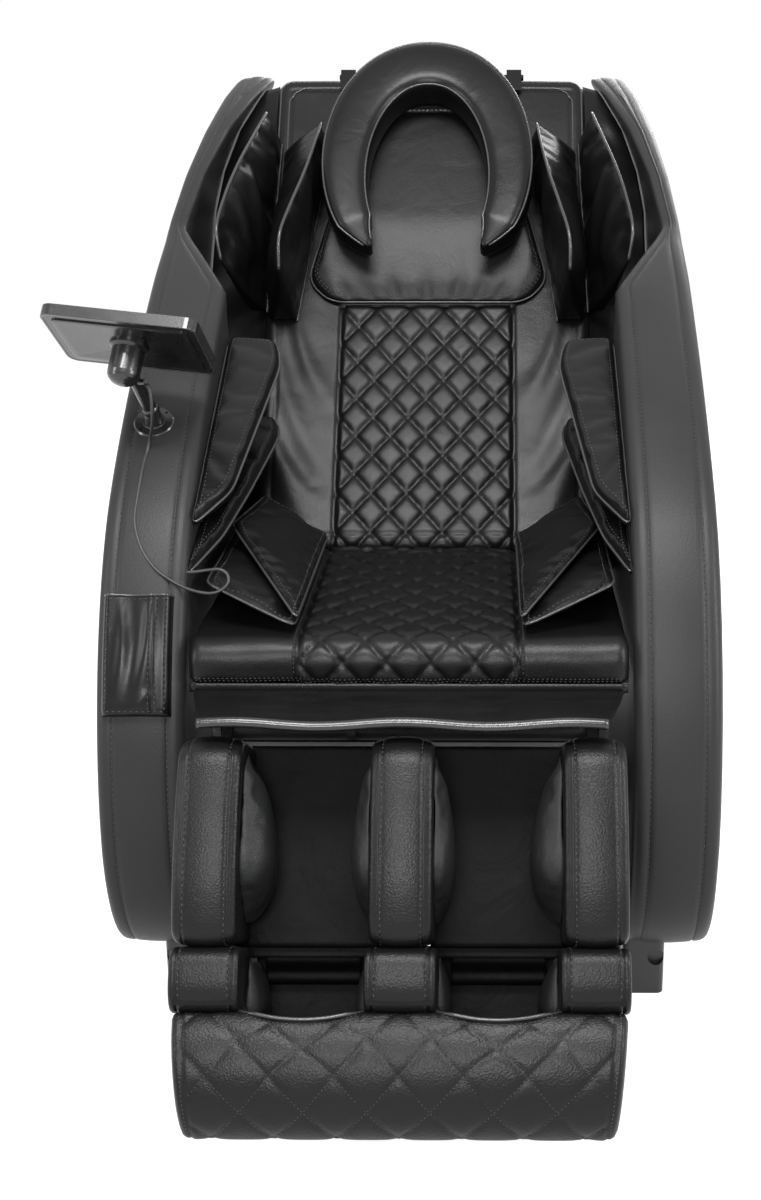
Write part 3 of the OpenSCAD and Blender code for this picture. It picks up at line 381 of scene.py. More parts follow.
def new_group(name, values):
    """A node group with a socket for each value, and outputs for colour, roughness and normal."""
    group = bpy.data.node_groups.new(name, "ShaderNodeTree")
    for title, value in values.items():
        kind = "Float"
        if isinstance(value, tuple):
            kind = "Color" if len(value) == 4 else "Vector"
        socket = group.interface.new_socket(title, in_out="INPUT", socket_type="NodeSocket" + kind)
        socket.default_value = value
    for title, kind in (("Color", "Color"), ("Roughness", "Float"), ("Normal", "Vector")):
        group.interface.new_socket(title, in_out="OUTPUT", socket_type="NodeSocket" + kind)
    return group, group.nodes.new("NodeGroupInput"), group.nodes.new("NodeGroupOutput")


def add_node(tree, kind, values=None, operation=None):
    """A shader node with some of its inputs set, by name or number."""
    node = tree.nodes.new("ShaderNode" + kind)
    if operation:
        node.operation = operation
    for socket, value in (values or {}).items():
        node.inputs[socket].default_value = value
    return node


def link_nodes(tree, pairs):
    for a, b in pairs:
        tree.links.new(a, b)


def moulded_group():
    """A moulded or coated surface: slightly uneven gloss and tone, and a fine texture."""
    group, gin, gout = new_group("moulded_surface", {
        "Colour": (0.02, 0.02, 0.02, 1), "Rough": 0.4, "Texture": 0.2, "Fineness": 900.0,
        "Stretch": (1, 1, 1)})
    coords = add_node(group, "TexCoord")
    stretch = add_node(group, "VectorMath", operation="MULTIPLY")
    tone = add_node(group, "TexNoise", {"Scale": 24, "Detail": 6})
    uneven = add_node(group, "Math", {1: 0.14}, "MULTIPLY_ADD")
    spread = add_node(group, "MapRange", {"To Min": 0.8, "To Max": 1.2})
    tint = add_node(group, "VectorMath", operation="SCALE")
    fine = add_node(group, "TexNoise", {"Detail": 2})
    bump = add_node(group, "Bump", {"Distance": 0.0006})
    link_nodes(group, [
        (coords.outputs["Object"], stretch.inputs[0]), (gin.outputs["Stretch"], stretch.inputs[1]),
        (stretch.outputs[0], tone.inputs["Vector"]), (coords.outputs["Object"], fine.inputs["Vector"]),
        (gin.outputs["Fineness"], fine.inputs["Scale"]), (tone.outputs["Fac"], uneven.inputs[0]),
        (gin.outputs["Rough"], uneven.inputs[2]), (uneven.outputs[0], gout.inputs["Roughness"]),
        (tone.outputs["Fac"], spread.inputs["Value"]), (gin.outputs["Colour"], tint.inputs[0]),
        (spread.outputs["Result"], tint.inputs["Scale"]), (tint.outputs[0], gout.inputs["Color"]),
        (fine.outputs["Fac"], bump.inputs["Height"]), (gin.outputs["Texture"], bump.inputs["Strength"]),
        (bump.outputs["Normal"], gout.inputs["Normal"])])
    return group


MOULDED = moulded_group()


def grouped_finish(name, group, values, surface):
    """A material whose colour, roughness and normal come from a group, with constants beside them."""
    mat = bpy.data.materials.new(name)
    mat.use_nodes = True
    tree = mat.node_tree
    bsdf = tree.nodes["Principled BSDF"]
    use = tree.nodes.new("ShaderNodeGroup")
    use.node_tree = group
    for node, settings in ((use, values), (bsdf, surface)):
        for socket, value in settings.items():
            node.inputs[socket].default_value = value
    link_nodes(tree, [(use.outputs["Color"], bsdf.inputs["Base Color"]),
                      (use.outputs["Roughness"], bsdf.inputs["Roughness"]),
                      (use.outputs["Normal"], bsdf.inputs["Normal"])])
    return mat


def plain(name, colour, rough, metal=0.0, coat=0.0, bump=0.1, scale=900, stretch=(1, 1, 1)):
    """A hard finish: plastic, rubber, paint, metal or wood."""
    return grouped_finish(name, MOULDED, {"Colour": (*colour, 1), "Rough": rough - 0.06, "Texture": bump,
                                          "Fineness": scale, "Stretch": stretch},
                          {"Metallic": metal, "Coat Weight": coat})


CABLE_RUBBER = plain("cable_rubber_matte", (0.016, 0.016, 0.016), 0.45)
cable_line = smooth_line(cable_points, 3)
cable = tube("tablet_cable_round", cable_line, CABLE_D * 500, CABLE_RUBBER, sides=12)
cable_run = float(run_along(cable_line)[-1]) * 0.001
declare(cable, "base", "cable_rubber", ["tablet_cable"])
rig.cord(cable, exit=cable_path[0], length=cable_run, diameter=CABLE_D, far_end="object",
        stiffness="medium", lay="loose", path=row(cable_line))

# ---------- Leather ----------
# Black coated leather cloth: a fine pebbled grain, soft folds below it, and a satin coat that is
# a little lighter and duller in random patches. The piping and the skirt's bar are given a lighter
# leather as a painted highlight.


def grain_group():
    group, gin, gout = new_group("pebbled_grain", {
        "Cells": 420.0, "Relief": 0.35, "Fold": 0.3, "Colour": (0.012, 0.012, 0.013, 1), "Gloss": 0.3})
    coords = add_node(group, "TexCoord")
    warp = add_node(group, "TexNoise", {"Scale": 160, "Detail": 2})
    bend = add_node(group, "VectorMath", {1: (0.004, 0.004, 0.004)}, "MULTIPLY_ADD")
    cells = add_node(group, "TexVoronoi")
    cells.feature = "SMOOTH_F1"
    cells.inputs["Smoothness"].default_value = 0.35
    fine = add_node(group, "TexNoise", {"Scale": 1500, "Detail": 3})
    mix = add_node(group, "Math", {1: 0.3}, "MULTIPLY_ADD")
    folds = add_node(group, "TexNoise", {"Scale": 16, "Detail": 4, "Distortion": 0.6})
    bump_fold = add_node(group, "Bump", {"Distance": 0.012})
    bump_grain = add_node(group, "Bump", {"Distance": 0.0009})
    patches = add_node(group, "TexNoise", {"Scale": 7, "Detail": 5})
    gloss_range = add_node(group, "Math", {1: 0.14}, "MULTIPLY_ADD")
    pore = add_node(group, "Math", {1: 0.10}, "MULTIPLY_ADD")
    shade = add_node(group, "MapRange", {"To Min": 0.75, "To Max": 1.35})
    tint = add_node(group, "VectorMath", operation="SCALE")
    link_nodes(group, [
        (coords.outputs["Object"], warp.inputs["Vector"]),
        (warp.outputs["Color"], bend.inputs[0]), (coords.outputs["Object"], bend.inputs[2]),
        (bend.outputs[0], cells.inputs["Vector"]), (gin.outputs["Cells"], cells.inputs["Scale"]),
        (coords.outputs["Object"], fine.inputs["Vector"]), (coords.outputs["Object"], folds.inputs["Vector"]),
        (coords.outputs["Object"], patches.inputs["Vector"]),
        (fine.outputs["Fac"], mix.inputs[0]), (cells.outputs["Distance"], mix.inputs[2]),
        (folds.outputs["Fac"], bump_fold.inputs["Height"]),
        (gin.outputs["Fold"], bump_fold.inputs["Strength"]),
        (mix.outputs[0], bump_grain.inputs["Height"]),
        (gin.outputs["Relief"], bump_grain.inputs["Strength"]),
        (bump_fold.outputs["Normal"], bump_grain.inputs["Normal"]),
        (bump_grain.outputs["Normal"], gout.inputs["Normal"]),
        (patches.outputs["Fac"], gloss_range.inputs[0]), (gin.outputs["Gloss"], gloss_range.inputs[2]),
        (cells.outputs["Distance"], pore.inputs[0]), (gloss_range.outputs[0], pore.inputs[2]),
        (pore.outputs[0], gout.inputs["Roughness"]),
        (patches.outputs["Fac"], shade.inputs["Value"]),
        (gin.outputs["Colour"], tint.inputs[0]), (shade.outputs["Result"], tint.inputs["Scale"]),
        (tint.outputs[0], gout.inputs["Color"])])
    return group


GRAIN = grain_group()


def leather(name, colour, gloss, relief, fold, cells, shine=0.22):
    """A leather cloth or thread: its grey, roughness, grain depth, folds, grain fineness and sheen."""
    return grouped_finish(name, GRAIN, {"Colour": (*colour, 1), "Gloss": gloss, "Relief": relief,
                                        "Fold": fold, "Cells": cells}, {"Specular IOR Level": shine})


LEATHER = leather("black_leather", (0.0035, 0.0035, 0.0038), 0.25, 0.16, 0.12, 620)
SMOOTH_LEATHER = leather("smooth_leather", (0.0035, 0.0035, 0.0038), 0.19, 0.08, 0.1, 700)
PEBBLED_LEATHER = leather("pebbled_leather", (0.004, 0.004, 0.0043), 0.26, 0.3, 0.05, 430)
# Piping leather much lighter than the black leather: a painted highlight on its rounded edge, besides its real gloss.
PIPING = leather("piping_leather", (0.035, 0.035, 0.036), 0.12, 0.1, 0.05, 420, shine=0.5)
# The band leather is a lighter grey than the other black leather: partly a painted sheen for the grey that the bands
# show.
BAND_LEATHER = leather("band_leather_painted_sheen", (0.018, 0.018, 0.0185), 0.32, 0.2, 0.03, 560)
THREAD = leather("black_thread", (0.05, 0.05, 0.051), 0.26, 0.3, 0.0, 1500)

# ---------- Side shells with their armrests ----------
# Each side is a moulded shell and an armrest box, padded and covered in one piece of leather cloth
# that wraps over the rim, with a stitched seam along both edges of the band.


def bezier(p, n):
    """Points of a cubic curve, without its last one."""
    t = np.linspace(0, 1, n, endpoint=False)[:, None]
    p = np.asarray(p, float)
    return p[0] * (1 - t) ** 3 + 3 * p[1] * t * (1 - t) ** 2 + 3 * p[2] * t * t * (1 - t) + p[3] * t ** 3


def stitching(name, lines, pitch=7.0, long=4.6, thick=0.75):
    """Rows of thread stitches laid along lines; each stitch is a six-sided spindle."""
    verts, faces = [], []
    for line in lines:
        line = resample(line, pitch)
        for a, b in zip(line[:-1], line[1:]):
            d = b - a
            size = np.linalg.norm(d)
            if size < pitch * 0.5:
                continue
            d = d / size
            u = unit(np.cross(d, (0.3, 0.2, 0.93)))
            w = np.cross(d, u)
            mid = (a + b) / 2
            base = len(verts)
            verts.append(mid - d * long / 2)
            for k in range(6):
                ang = k * math.pi / 3
                verts.append(mid + thick * (math.cos(ang) * u + math.sin(ang) * w))
            verts.append(mid + d * long / 2)
            for k in range(6):
                near, far = base + 1 + k, base + 1 + (k + 1) % 6
                faces += [(base, far, near), (base + 7, near, far)]
    return finish_piece(name, np.array(verts), faces, THREAD)


def surface_of(obj):
    """A tree of an object's faces, for laying lines on it."""
    return BVHTree.FromPolygons([v.co.copy() for v in obj.data.vertices],
                                [tuple(p.vertices) for p in obj.data.polygons])


def laid_on(tree, points, lift=0.0):
    """Points in chair millimetres moved to the nearest place on a surface and lifted off it."""
    out = []
    for p in row(points):
        place, normal, _, _ = tree.find_nearest(Vector(p))
        out.append(place + normal * lift * 0.001)
    return (np.array(out) - (MIDDLE, CREASE, 0)) * 1000


def quads(rows, cols):
    """The faces of a grid of points, row by row."""
    return [(a, a + 1, a + cols + 1, a + cols)
            for r in range(rows - 1) for a in range(r * cols, r * cols + cols - 1)]


def rim_of(rows, cols):
    """The places round the edge of a grid of points."""
    last = (rows - 1) * cols
    return (list(range(cols)) + [r * cols + cols - 1 for r in range(1, rows)]
            + [last + c for c in range(cols - 2, -1, -1)] + [r * cols for r in range(rows - 2, 0, -1)])


def cloth_between(name, front, back, material):
    """A closed piece of cloth between two grids of points."""
    rows, cols, _ = front.shape
    count = rows * cols
    faces = []
    for a, b, c, d in quads(rows, cols):
        faces += [(a, b, c, d), (a + count, d + count, c + count, b + count)]
    rim = rim_of(rows, cols)
    for a, b in zip(rim, rim[1:] + rim[:1]):
        faces.append((b, a, a + count, b + count))
    piece = finish_piece(name, np.vstack([front.reshape(-1, 3), back.reshape(-1, 3)]), faces, material)
    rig.slot(piece, "black_leather")
    return piece


def curtain(name, grid, thick, material, body=None, held="stretched", rests_on=()):
    """A closed sheet of cloth over a grid of points, as thick as it says, behind the grid."""
    du, dv = np.gradient(grid, axis=0), np.gradient(grid, axis=1)
    piece = cloth_between(name, grid, grid + unit(np.cross(du, dv)) * thick, material)
    du, dv = np.diff(grid, axis=0), np.diff(grid, axis=1)
    length, width = (np.linalg.norm(d, axis=2).sum(k).max() * 0.001 for k, d in ((0, du), (1, dv)))
    area = np.linalg.norm(np.cross(du[:, :-1], dv[:-1]), axis=2).sum() * 1e-6
    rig.sheet(piece, flat=(float(width), float(length)), held=held, rests_on=list(rests_on),
             area=float(min(area, width * length)))
    if body:
        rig.ride(piece, body)
    return piece


SHELL_OUT = 375
ARM_IN = 269
SHELL_IN = 345
FLOOR_EDGE = 79
KINK_END = 136
LEAN_Z = [880, 950, 1010, 1074, 1125, 1172]
LEAN_OUT = [0, 3, 10, 23, 38, 60]
LEAN_IN = [0, 0, 10, 32, 62, 98]
BAND_FRONT = [(-484, 240), (-488, 360), (-440, 515), (-350, 620)]
FRONT = [[(-380, FLOOR_EDGE), (-430, FLOOR_EDGE), (-478, 145), (-484, 240)],
         BAND_FRONT,
         [(-350, 620), (-280, 702), (-50, 855), (141, 945)]]
REAR = [[(141, 945), (230, 1000), (400, 1108), (540, 1154)],
        [(540, 1154), (595, 1169), (632, 1128), (636, 1036)],
        [(636, 1036), (630, 760), (570, 330), (400, FLOOR_EDGE)]]
BOTTOM = [(400 - 780 * i / 20, FLOOR_EDGE) for i in range(1, 20)]
outline = resample(np.vstack([bezier(c, 60) for c in FRONT + REAR] + [BOTTOM]), 11, closed=True)
ahead = unit(np.roll(outline, -2, 0) - np.roll(outline, 2, 0))
inward = np.stack([ahead[:, 1], -ahead[:, 0]], -1)
middle = np.array([70.0, 560.0])
if (inward * (middle - outline)).sum() < 0:
    inward = -inward

# The rim turns over with a radius of 13 mm, less where the shell is thin, and the seam lies 7 mm in from it.
RIM_RADIUS, RIM_SHARE = 13, 0.3
SEAM_IN, SEAM_SHARE = 7, 0.12
EDGE_STEPS = [34, 22, 14]
TURN = [15, 35, 55, 75]
SEAM_STEPS = [0, 0.6, 0.85, 1.0, 1.15, 1.4, 2.2]
BAND_CROWN, SEAM_DEPTH = 2.6, 1.5


def outer_x(p):
    """The outer face's distance from the middle plane, at places (y, z)."""
    return SHELL_OUT - np.interp(p[..., 1], LEAN_Z, LEAN_OUT)


def inner_x(p):
    """The inner face's distance from the middle plane: the armrest, a kink, then the shell."""
    t = np.clip(p[..., 0] / KINK_END, 0, 1)
    return ARM_IN + (SHELL_IN - ARM_IN) * t - np.interp(p[..., 1], LEAN_Z, LEAN_IN)


def band_rings():
    """Rings round the side, from the middle of its outer face over the rim to its inner face."""
    wide = outer_x(outline) - inner_x(outline)
    r = np.minimum(RIM_RADIUS, RIM_SHARE * wide)
    seam = np.minimum(SEAM_IN, SEAM_SHARE * wide)

    def face_rings(face_x, away, count):
        """One face's rings from its middle to its rim, and the quarter turn over the rim."""
        rings = []
        for k in range(count, 0, -1):
            p = middle + (outline + inward * EDGE_STEPS[0] - middle) * (1 - k / (count + 0.5))
            rings.append((p, face_x(p)))
        for d in EDGE_STEPS:
            p = outline + inward * d
            rings.append((p, face_x(p)))
        for a in TURN:
            s, c = math.sin(math.radians(a)), math.cos(math.radians(a))
            p = outline + inward * (r * (1 - s))[:, None]
            rings.append((p, face_x(p) + away * r * (1 - c)))
        return rings

    x0, x1 = outer_x(outline) - r, inner_x(outline) + r
    across = [x0 - seam * s for s in SEAM_STEPS]
    inner_side = [x1 + seam * s for s in SEAM_STEPS[::-1]]
    left, right = across[-1], inner_side[0]
    across += [left + (right - left) * t for t in np.linspace(0.1, 0.9, 9)] + inner_side
    rings = face_rings(outer_x, -1, 14)
    for x in across:
        t = np.clip((x0 - x) / np.maximum(x0 - x1, 1), 0, 1)
        rise = BAND_CROWN * np.sin(math.pi * t)
        for line in (x0 - seam, x1 + seam):
            rise = rise - SEAM_DEPTH * np.exp(-((x - line) / SEAM_DEPTH) ** 2)
        rings.append((outline - inward * rise[:, None], x))
    rings += face_rings(inner_x, 1, 24)[::-1]
    return np.array([np.column_stack([x, p]) for p, x in rings])


def band_seam(near_outer):
    """The line of a seam along the band, but not along the floor edge."""
    x0, x1 = outer_x(outline), inner_x(outline)
    wide = x0 - x1
    d = np.minimum(RIM_RADIUS, RIM_SHARE * wide) + np.minimum(SEAM_IN, SEAM_SHARE * wide)
    keep = outline[:, 1] > FLOOR_EDGE + 12
    order = np.roll(np.arange(len(outline)), -int(np.argmin(keep)))
    order = [i for i in order if keep[i]]
    return np.column_stack([x0 - d if near_outer else x1 + d, outline + inward * 0.2])[order]


for side, name in ((-1, "left"), (1, "right")):
    flip = np.array([side, 1, 1])
    band = skin("side_" + name, band_rings() * flip, BAND_LEATHER)
    declare(band, "base", nodes_replaced=["side_shell_" + name, "armrest_" + name], fill=0.9)
    seams = [band_seam(near_outer) * flip for near_outer in (True, False)]
    declare(stitching("side_stitches_" + name, seams), "base")

# ---------- Finishes of the hard parts ----------
# Powder-coated steel, plywood, moulded plastics, ground rods and rubber tyres, each under its slot's name.
FINISHES = {
    "black_plastic": plain("black_plastic_fine", (0.010, 0.010, 0.0105), 0.36, bump=0.35),
    "grey_plastic": plain("grey_plastic_moulded", (0.15, 0.15, 0.16), 0.42, bump=0.25),
    "roller_plastic": plain("roller_plastic_smooth", (0.5, 0.36, 0.2), 0.25),
    "painted_steel": plain("powder_coat", (0.012, 0.012, 0.013), 0.42, bump=0.4, scale=1300),
    "bright_steel": plain("ground_steel", (0.55, 0.55, 0.57), 0.26, metal=1.0),
    "plywood": plain("birch_plywood", (0.5, 0.34, 0.18), 0.6, bump=0.2, stretch=(2, 14, 30)),
    "wheel_rubber": plain("wheel_rubber_matte", (0.02, 0.02, 0.02), 0.7, bump=0.3),
    "cable_rubber": CABLE_RUBBER,
    "black_leather": LEATHER,
    "airbag_cloth": leather("coated_cloth", (0.011, 0.0113, 0.012), 0.34, 0.3, 0.3, 900),
}
# Lining cloth, darker and less glossy than the leather: a painted shade, so the wells and the slide read as deep
# shadow.
LINING = leather("lining_cloth", (0.0016, 0.0016, 0.0018), 0.5, 0.3, 0.4, 900, shine=0.12)
for obj in nodes.values():
    for place in obj.material_slots:
        base = place.material.name.split(".")[0]
        place.material = FINISHES[base]

# ---------- Quilted pads ----------
# Seat, backrest and foot cover are sewn in diamonds. Each diamond stands proud between its stitch lines
# and the cloth is puckered along them; outside the quilted field the cloth is plain.


def uneven(x, y, z, size, seed=0.0):
    """Smooth random values over a grid of places; bumps are about as wide as the size."""
    points = np.stack(np.broadcast_arrays(x, y, z), -1).reshape(-1, 3)
    values = [noise.noise(Vector(p) / size + Vector((seed, seed, seed))) for p in points]
    return np.array(values).reshape(x.shape)


def diamond_relief(x, z, width, height, puff, pucker=0.5, fullness=0.36):
    """Relief of a diamond quilt: how far the cloth stands over its stitch lines."""
    u, v = x / width + z / height, x / width - z / height
    fu, fv = np.abs((u % 1) - 0.5) * 2, np.abs((v % 1) - 0.5) * 2
    lens = (1 - fu ** 3.4) * (1 - fv ** 3.4)
    near = np.exp(-((1 - np.maximum(fu, fv)) * width * 0.35 / 3.0))
    along = np.where(fu > fv, v, u) * width * 0.75
    folds = np.sin(along * 2 * math.pi / 8.5 + 2.2 * np.sin(along * 0.31)) * near * pucker
    return puff * np.maximum(lens, 0) ** fullness + folds * np.minimum(1, lens * 6)


def rounded_box_depth(x, z, half_w, z0, z1, corner):
    """Distance from the nearest edge of a rounded rectangle, inside it."""
    qx = np.abs(x) - (half_w - corner)
    qz = np.abs(z - (z0 + z1) / 2) - ((z1 - z0) / 2 - corner)
    out = np.hypot(np.maximum(qx, 0), np.maximum(qz, 0)) + np.minimum(np.maximum(qx, qz), 0)
    return corner - out


def slab_grid(half_w, z0, z1, corner, step):
    """Grid of places inside a rounded rectangle; every row ends on its edge."""
    nz = int((z1 - z0) / step) + 1
    nx = int(2 * half_w / step) + 1
    a = (1 - np.cos(np.linspace(0, math.pi, nz))) / 2
    t = np.linspace(0, 1, nz)
    z = z0 + (z1 - z0) * (0.9 * t + 0.1 * a)
    end = np.minimum(z - z0, z1 - z)
    near = np.clip(corner - end, 0, corner)
    w = half_w - corner + np.sqrt(np.maximum(corner ** 2 - near ** 2, 0))
    x = np.linspace(-1, 1, nx)[None, :] * w[:, None]
    return x, np.repeat(z[:, None], nx, 1)


def slab(name, place, x, z, top, edge_low, material):
    """A closed pad: a relief over a grid, nearly straight sides below its edge, and a flat underside."""
    rows, cols = x.shape
    verts = list(place(x, top, z).reshape(-1, 3))
    faces = quads(rows, cols)
    last = rim_of(rows, cols)
    count = len(last)
    rx, rz, rt = x.ravel()[last], z.ravel()[last], top.ravel()[last]
    cx, cz = rx.mean(), (rz.max() + rz.min()) / 2
    for k in range(1, 6):
        t = k / 5
        b = rt + (edge_low - rt) * t
        bulge = 1 + 0.004 * math.sin(math.pi * t)
        base = len(verts)
        verts += list(place(cx + (rx - cx) * bulge, b, cz + (rz - cz) * bulge))
        for i in range(count):
            j = (i + 1) % count
            faces.append((last[j], last[i], base + i, base + j))
        last = list(range(base, base + count))
    faces += [(last[(i + 1) % count], last[i], len(verts)) for i in range(count)]
    verts.append(place(cx, edge_low, cz))
    return finish_piece(name, np.array(verts), faces, material)


def roll_edge(depth, radius):
    """How far a pad's face falls away near its edge."""
    inside = np.clip(radius - depth, 0, radius)
    return radius - np.sqrt(np.maximum(radius ** 2 - inside ** 2, 0))


def groove(distance, width, deep):
    """The dent of a seam at a distance from it."""
    return -deep * np.exp(-(distance / width) ** 2)


def piped(name, line, body, radius, closed=False, sides=10):
    return declare(tube(name, line, radius, PIPING, sides, closed), body)


def sewn(name, lines, body, **thread):
    return declare(stitching(name, lines, **thread), body)


def creases(x, z, lines):
    """Raised folds along lines of (start, end, height, width); each fades towards both of its ends."""
    out = np.zeros(x.shape)
    for (x0, z0), (x1, z1), tall, wide in lines:
        d = np.array([x1 - x0, z1 - z0], float)
        size = np.hypot(*d)
        along = ((x - x0) * d[0] + (z - z0) * d[1]) / size
        away = ((x - x0) * d[1] - (z - z0) * d[0]) / size
        away = away + 0.06 * size * np.sin(along / size * 3.1)
        t = np.clip(along / size, 0, 1)
        across = np.exp(-(away / (wide * (0.6 + 0.8 * t))) ** 2)
        out += tall * np.sin(math.pi * t) ** 0.8 * across * (along > 0)
    return out


SIDE_FOLDS = [
    ((240, 396), (146, 110), 4.6, 17), ((206, 398), (138, 230), 3.6, 14), ((248, 340), (172, 50), 4.4, 18),
    ((250, 240), (158, 22), 3.6, 15), ((226, 180), (140, 60), 2.6, 13), ((252, 420), (238, 250), 3.0, 12),
]

# Backrest: a quilted middle up to the head pad, plain side panels with a stitched seam between.
BACK_W, BACK_L, BACK_T, BACK_CORNER = 506, 838, 40, 28
QUILT_W, QUILT_TOP = 262, 409
CELL_W, CELL_BACK, CELL_SEAT = QUILT_W / 5, 62, 60
STEP = 3.0
FINE_THREAD = {"pitch": 5.5, "long": 3.8, "thick": 0.6}
x, z = slab_grid(BACK_W / 2, 2, BACK_L, BACK_CORNER, STEP)
depth = rounded_box_depth(x, z, BACK_W / 2, 2, BACK_L, BACK_CORNER)
field = (np.abs(x) < QUILT_W / 2) & (z < QUILT_TOP)
folds = creases(np.abs(x), z, SIDE_FOLDS) * (np.abs(x) > QUILT_W / 2)
relief = np.where(field, diamond_relief(x, z, CELL_W, CELL_BACK, 8.0, 0.35),
                  2.0 + uneven(x, 0, z, 90) * 1.4 + folds)
for line in (QUILT_W / 2, -QUILT_W / 2):
    relief += groove(np.where(z < QUILT_TOP + 3, x - line, 99), 3.5, 5.0)
relief += groove(np.where(np.abs(x) < QUILT_W / 2, z - QUILT_TOP, 99), 3.5, 5.0)
relief = relief - roll_edge(depth, 20) + groove(depth - 26, 2.2, 1.5)
back = slab("back_upholstery", on_back, x, z, relief - 4, -BACK_T + 0.5, LEATHER)
declare(back, "backrest", nodes_replaced=["back_pad"], fill=0.7)
back_tree = surface_of(back)
up = np.arange(16, QUILT_TOP - 3, STEP)
lines = [laid_on(back_tree, on_back(side * (QUILT_W / 2 + 5), 0.0, up), 0.2) for side in (-1, 1)]
sewn("back_stitches", lines, "backrest", **FINE_THREAD)
corner_turn = [(BACK_CORNER * math.sin(a), BACK_CORNER * math.cos(a))
               for a in np.linspace(0, math.pi / 2, 12)]
for inset in (3, 24):
    wide, tall = BACK_W / 2 - inset, BACK_L - inset
    half_rim = [(wide - BACK_CORNER + a, tall - BACK_CORNER + b) for a, b in corner_turn] + [(wide, 430)]
    rim = resample([(-a, b) for a, b in half_rim[::-1]] + half_rim, 4)
    rim = laid_on(back_tree, on_back(rim[:, 0], 1.0, rim[:, 1]), 0.2)
    piped("back_rim_piping_%d" % inset, rim, "backrest", 1.7, sides=8)

# Seat: diamonds down to a front roll; the cloth turns over the roll and down to its lower edge.
SEAT_W, SEAT_CORNER = 526, 12
SEAT_FRONT, SEAT_REAR = -454, -22
SEAT_TOP, SEAT_LOW = 503, 447
ROLL = 32
seat_run = [(y, SEAT_TOP) for y in np.linspace(SEAT_REAR, SEAT_FRONT + ROLL, 60)]
seat_run += [(SEAT_FRONT + ROLL - ROLL * math.sin(a), SEAT_TOP - ROLL + ROLL * math.cos(a))
             for a in np.linspace(0.1, math.pi / 2, 10)]
seat_run += [(SEAT_FRONT, z) for z in np.linspace(SEAT_TOP - ROLL - 3, SEAT_LOW, 6)]
seat_run = resample(seat_run, STEP)
seat_length = run_along(seat_run)
seat_tangent = unit(np.gradient(seat_run, axis=0))
seat_out = np.stack([seat_tangent[:, 1], -seat_tangent[:, 0]], -1)
seat_out = np.where((seat_out @ np.array([-0.5, 1.0]))[:, None] < 0, -seat_out, seat_out)


def off_line(s, b, length, line, out):
    """Both coordinates of places along a line and off it."""
    return [np.interp(s, length, line[:, k]) + b * np.interp(s, length, out[:, k]) for k in (0, 1)]


def on_seat(x, b, s):
    """Points given across the seat, out of its face and along it from the rear edge to the front one."""
    x, b, s = np.broadcast_arrays(np.asarray(x, float), b, s)
    return np.stack([x, *off_line(s, b, seat_length, seat_run, seat_out)], -1)


SEAT_RUN = seat_length[-1]
x, z = slab_grid(SEAT_W / 2 - 1, 0, SEAT_RUN, SEAT_CORNER, STEP)
depth = rounded_box_depth(x, z, SEAT_W / 2 - 1, 0, SEAT_RUN, SEAT_CORNER)
bunch = uneven(x / 60, z / 7.5, 1.7, 1) * 4.5 * np.exp(-(np.maximum(z - 12, 0) / 30) ** 2)
relief = np.where(np.abs(x) < QUILT_W / 2, diamond_relief(x, z - SEAT_RUN, CELL_W, CELL_SEAT, 6.5, 0.7),
                  3.5 + uneven(x, 0, z, 60, 3.0) * 2.0) + bunch
for line in (QUILT_W / 2, -QUILT_W / 2):
    relief += groove(x - line, 3.5, 5.0)
relief = relief - roll_edge(depth, 14) - 3.5


def seat_slab(x, b, s):
    """Under the relief the seat closes towards a flat underside."""
    p = on_seat(x, np.maximum(b, -16), s)
    drop = np.clip((-16 - b) / 40, 0, 1)[..., None]
    base = np.stack([p[..., 0], np.clip(p[..., 1], SEAT_FRONT + 4, SEAT_REAR),
                     np.full(p.shape[:-1], SEAT_LOW + 0.5)], -1)
    return p * (1 - drop) + base * drop


seat = slab("seat_upholstery", seat_slab, x, z, relief, -56, LEATHER)
declare(seat, "base", nodes_replaced=["seat_cushion"], fill=0.7)
seat_tree = surface_of(seat)
across = np.arange(-SEAT_W / 2 + 6, SEAT_W / 2 - 5, STEP)
down = np.arange(30, SEAT_RUN - 14, STEP)
lines = [on_seat(across, 0.0, SEAT_RUN - back_by) for back_by in (6, 10.5)]
lines += [on_seat(side * (QUILT_W / 2 + 5), 0.0, down) for side in (-1, 1)]
sewn("seat_stitches", [laid_on(seat_tree, line, 0.2) for line in lines], "base", **FINE_THREAD)

# Foot cover: diamonds over the front of the foot section, rounded over its lower edge. Its top edge dips
# in front of each foot.
FOOT_W, FOOT_CORNER = 492, 14
FOOT_CELL, FOOT_TALL = FOOT_W / 7, 78
SCOOP_X, SCOOP_HALF, SCOOP_DEEP, SCOOP_FADE = 106, 67, 24, 90
foot_path = resample(np.vstack([bezier([(-463, 133), (-444, 184), (-365, 190), (-328, 160)], 40),
                                [(-328, 160), (-325, 142)]]), STEP)
foot_length = run_along(foot_path)
FOOT_RUN = foot_length[-1]
foot_tangent = unit(np.gradient(foot_path, axis=0))
foot_out = np.stack([-foot_tangent[:, 1], foot_tangent[:, 0]], -1)


def on_foot(x, b, s):
    """Points across the foot cover, out of it and along it."""
    x, b, s = np.broadcast_arrays(np.asarray(x, float), b, s)
    dip = SCOOP_DEEP * np.sqrt(np.clip(1 - ((np.abs(x) - SCOOP_X) / SCOOP_HALF) ** 2, 0, 1))
    near = np.clip((s - FOOT_RUN + SCOOP_FADE) / SCOOP_FADE, 0, 1)
    along, out = off_line(s - dip * near * near * (3 - 2 * near), b, foot_length, foot_path, foot_out)
    narrow = 1 - 0.055 * np.clip((-along - 330) / 130, 0, 1)
    return on_leg(x * narrow, np.maximum(out, 128.5), along)


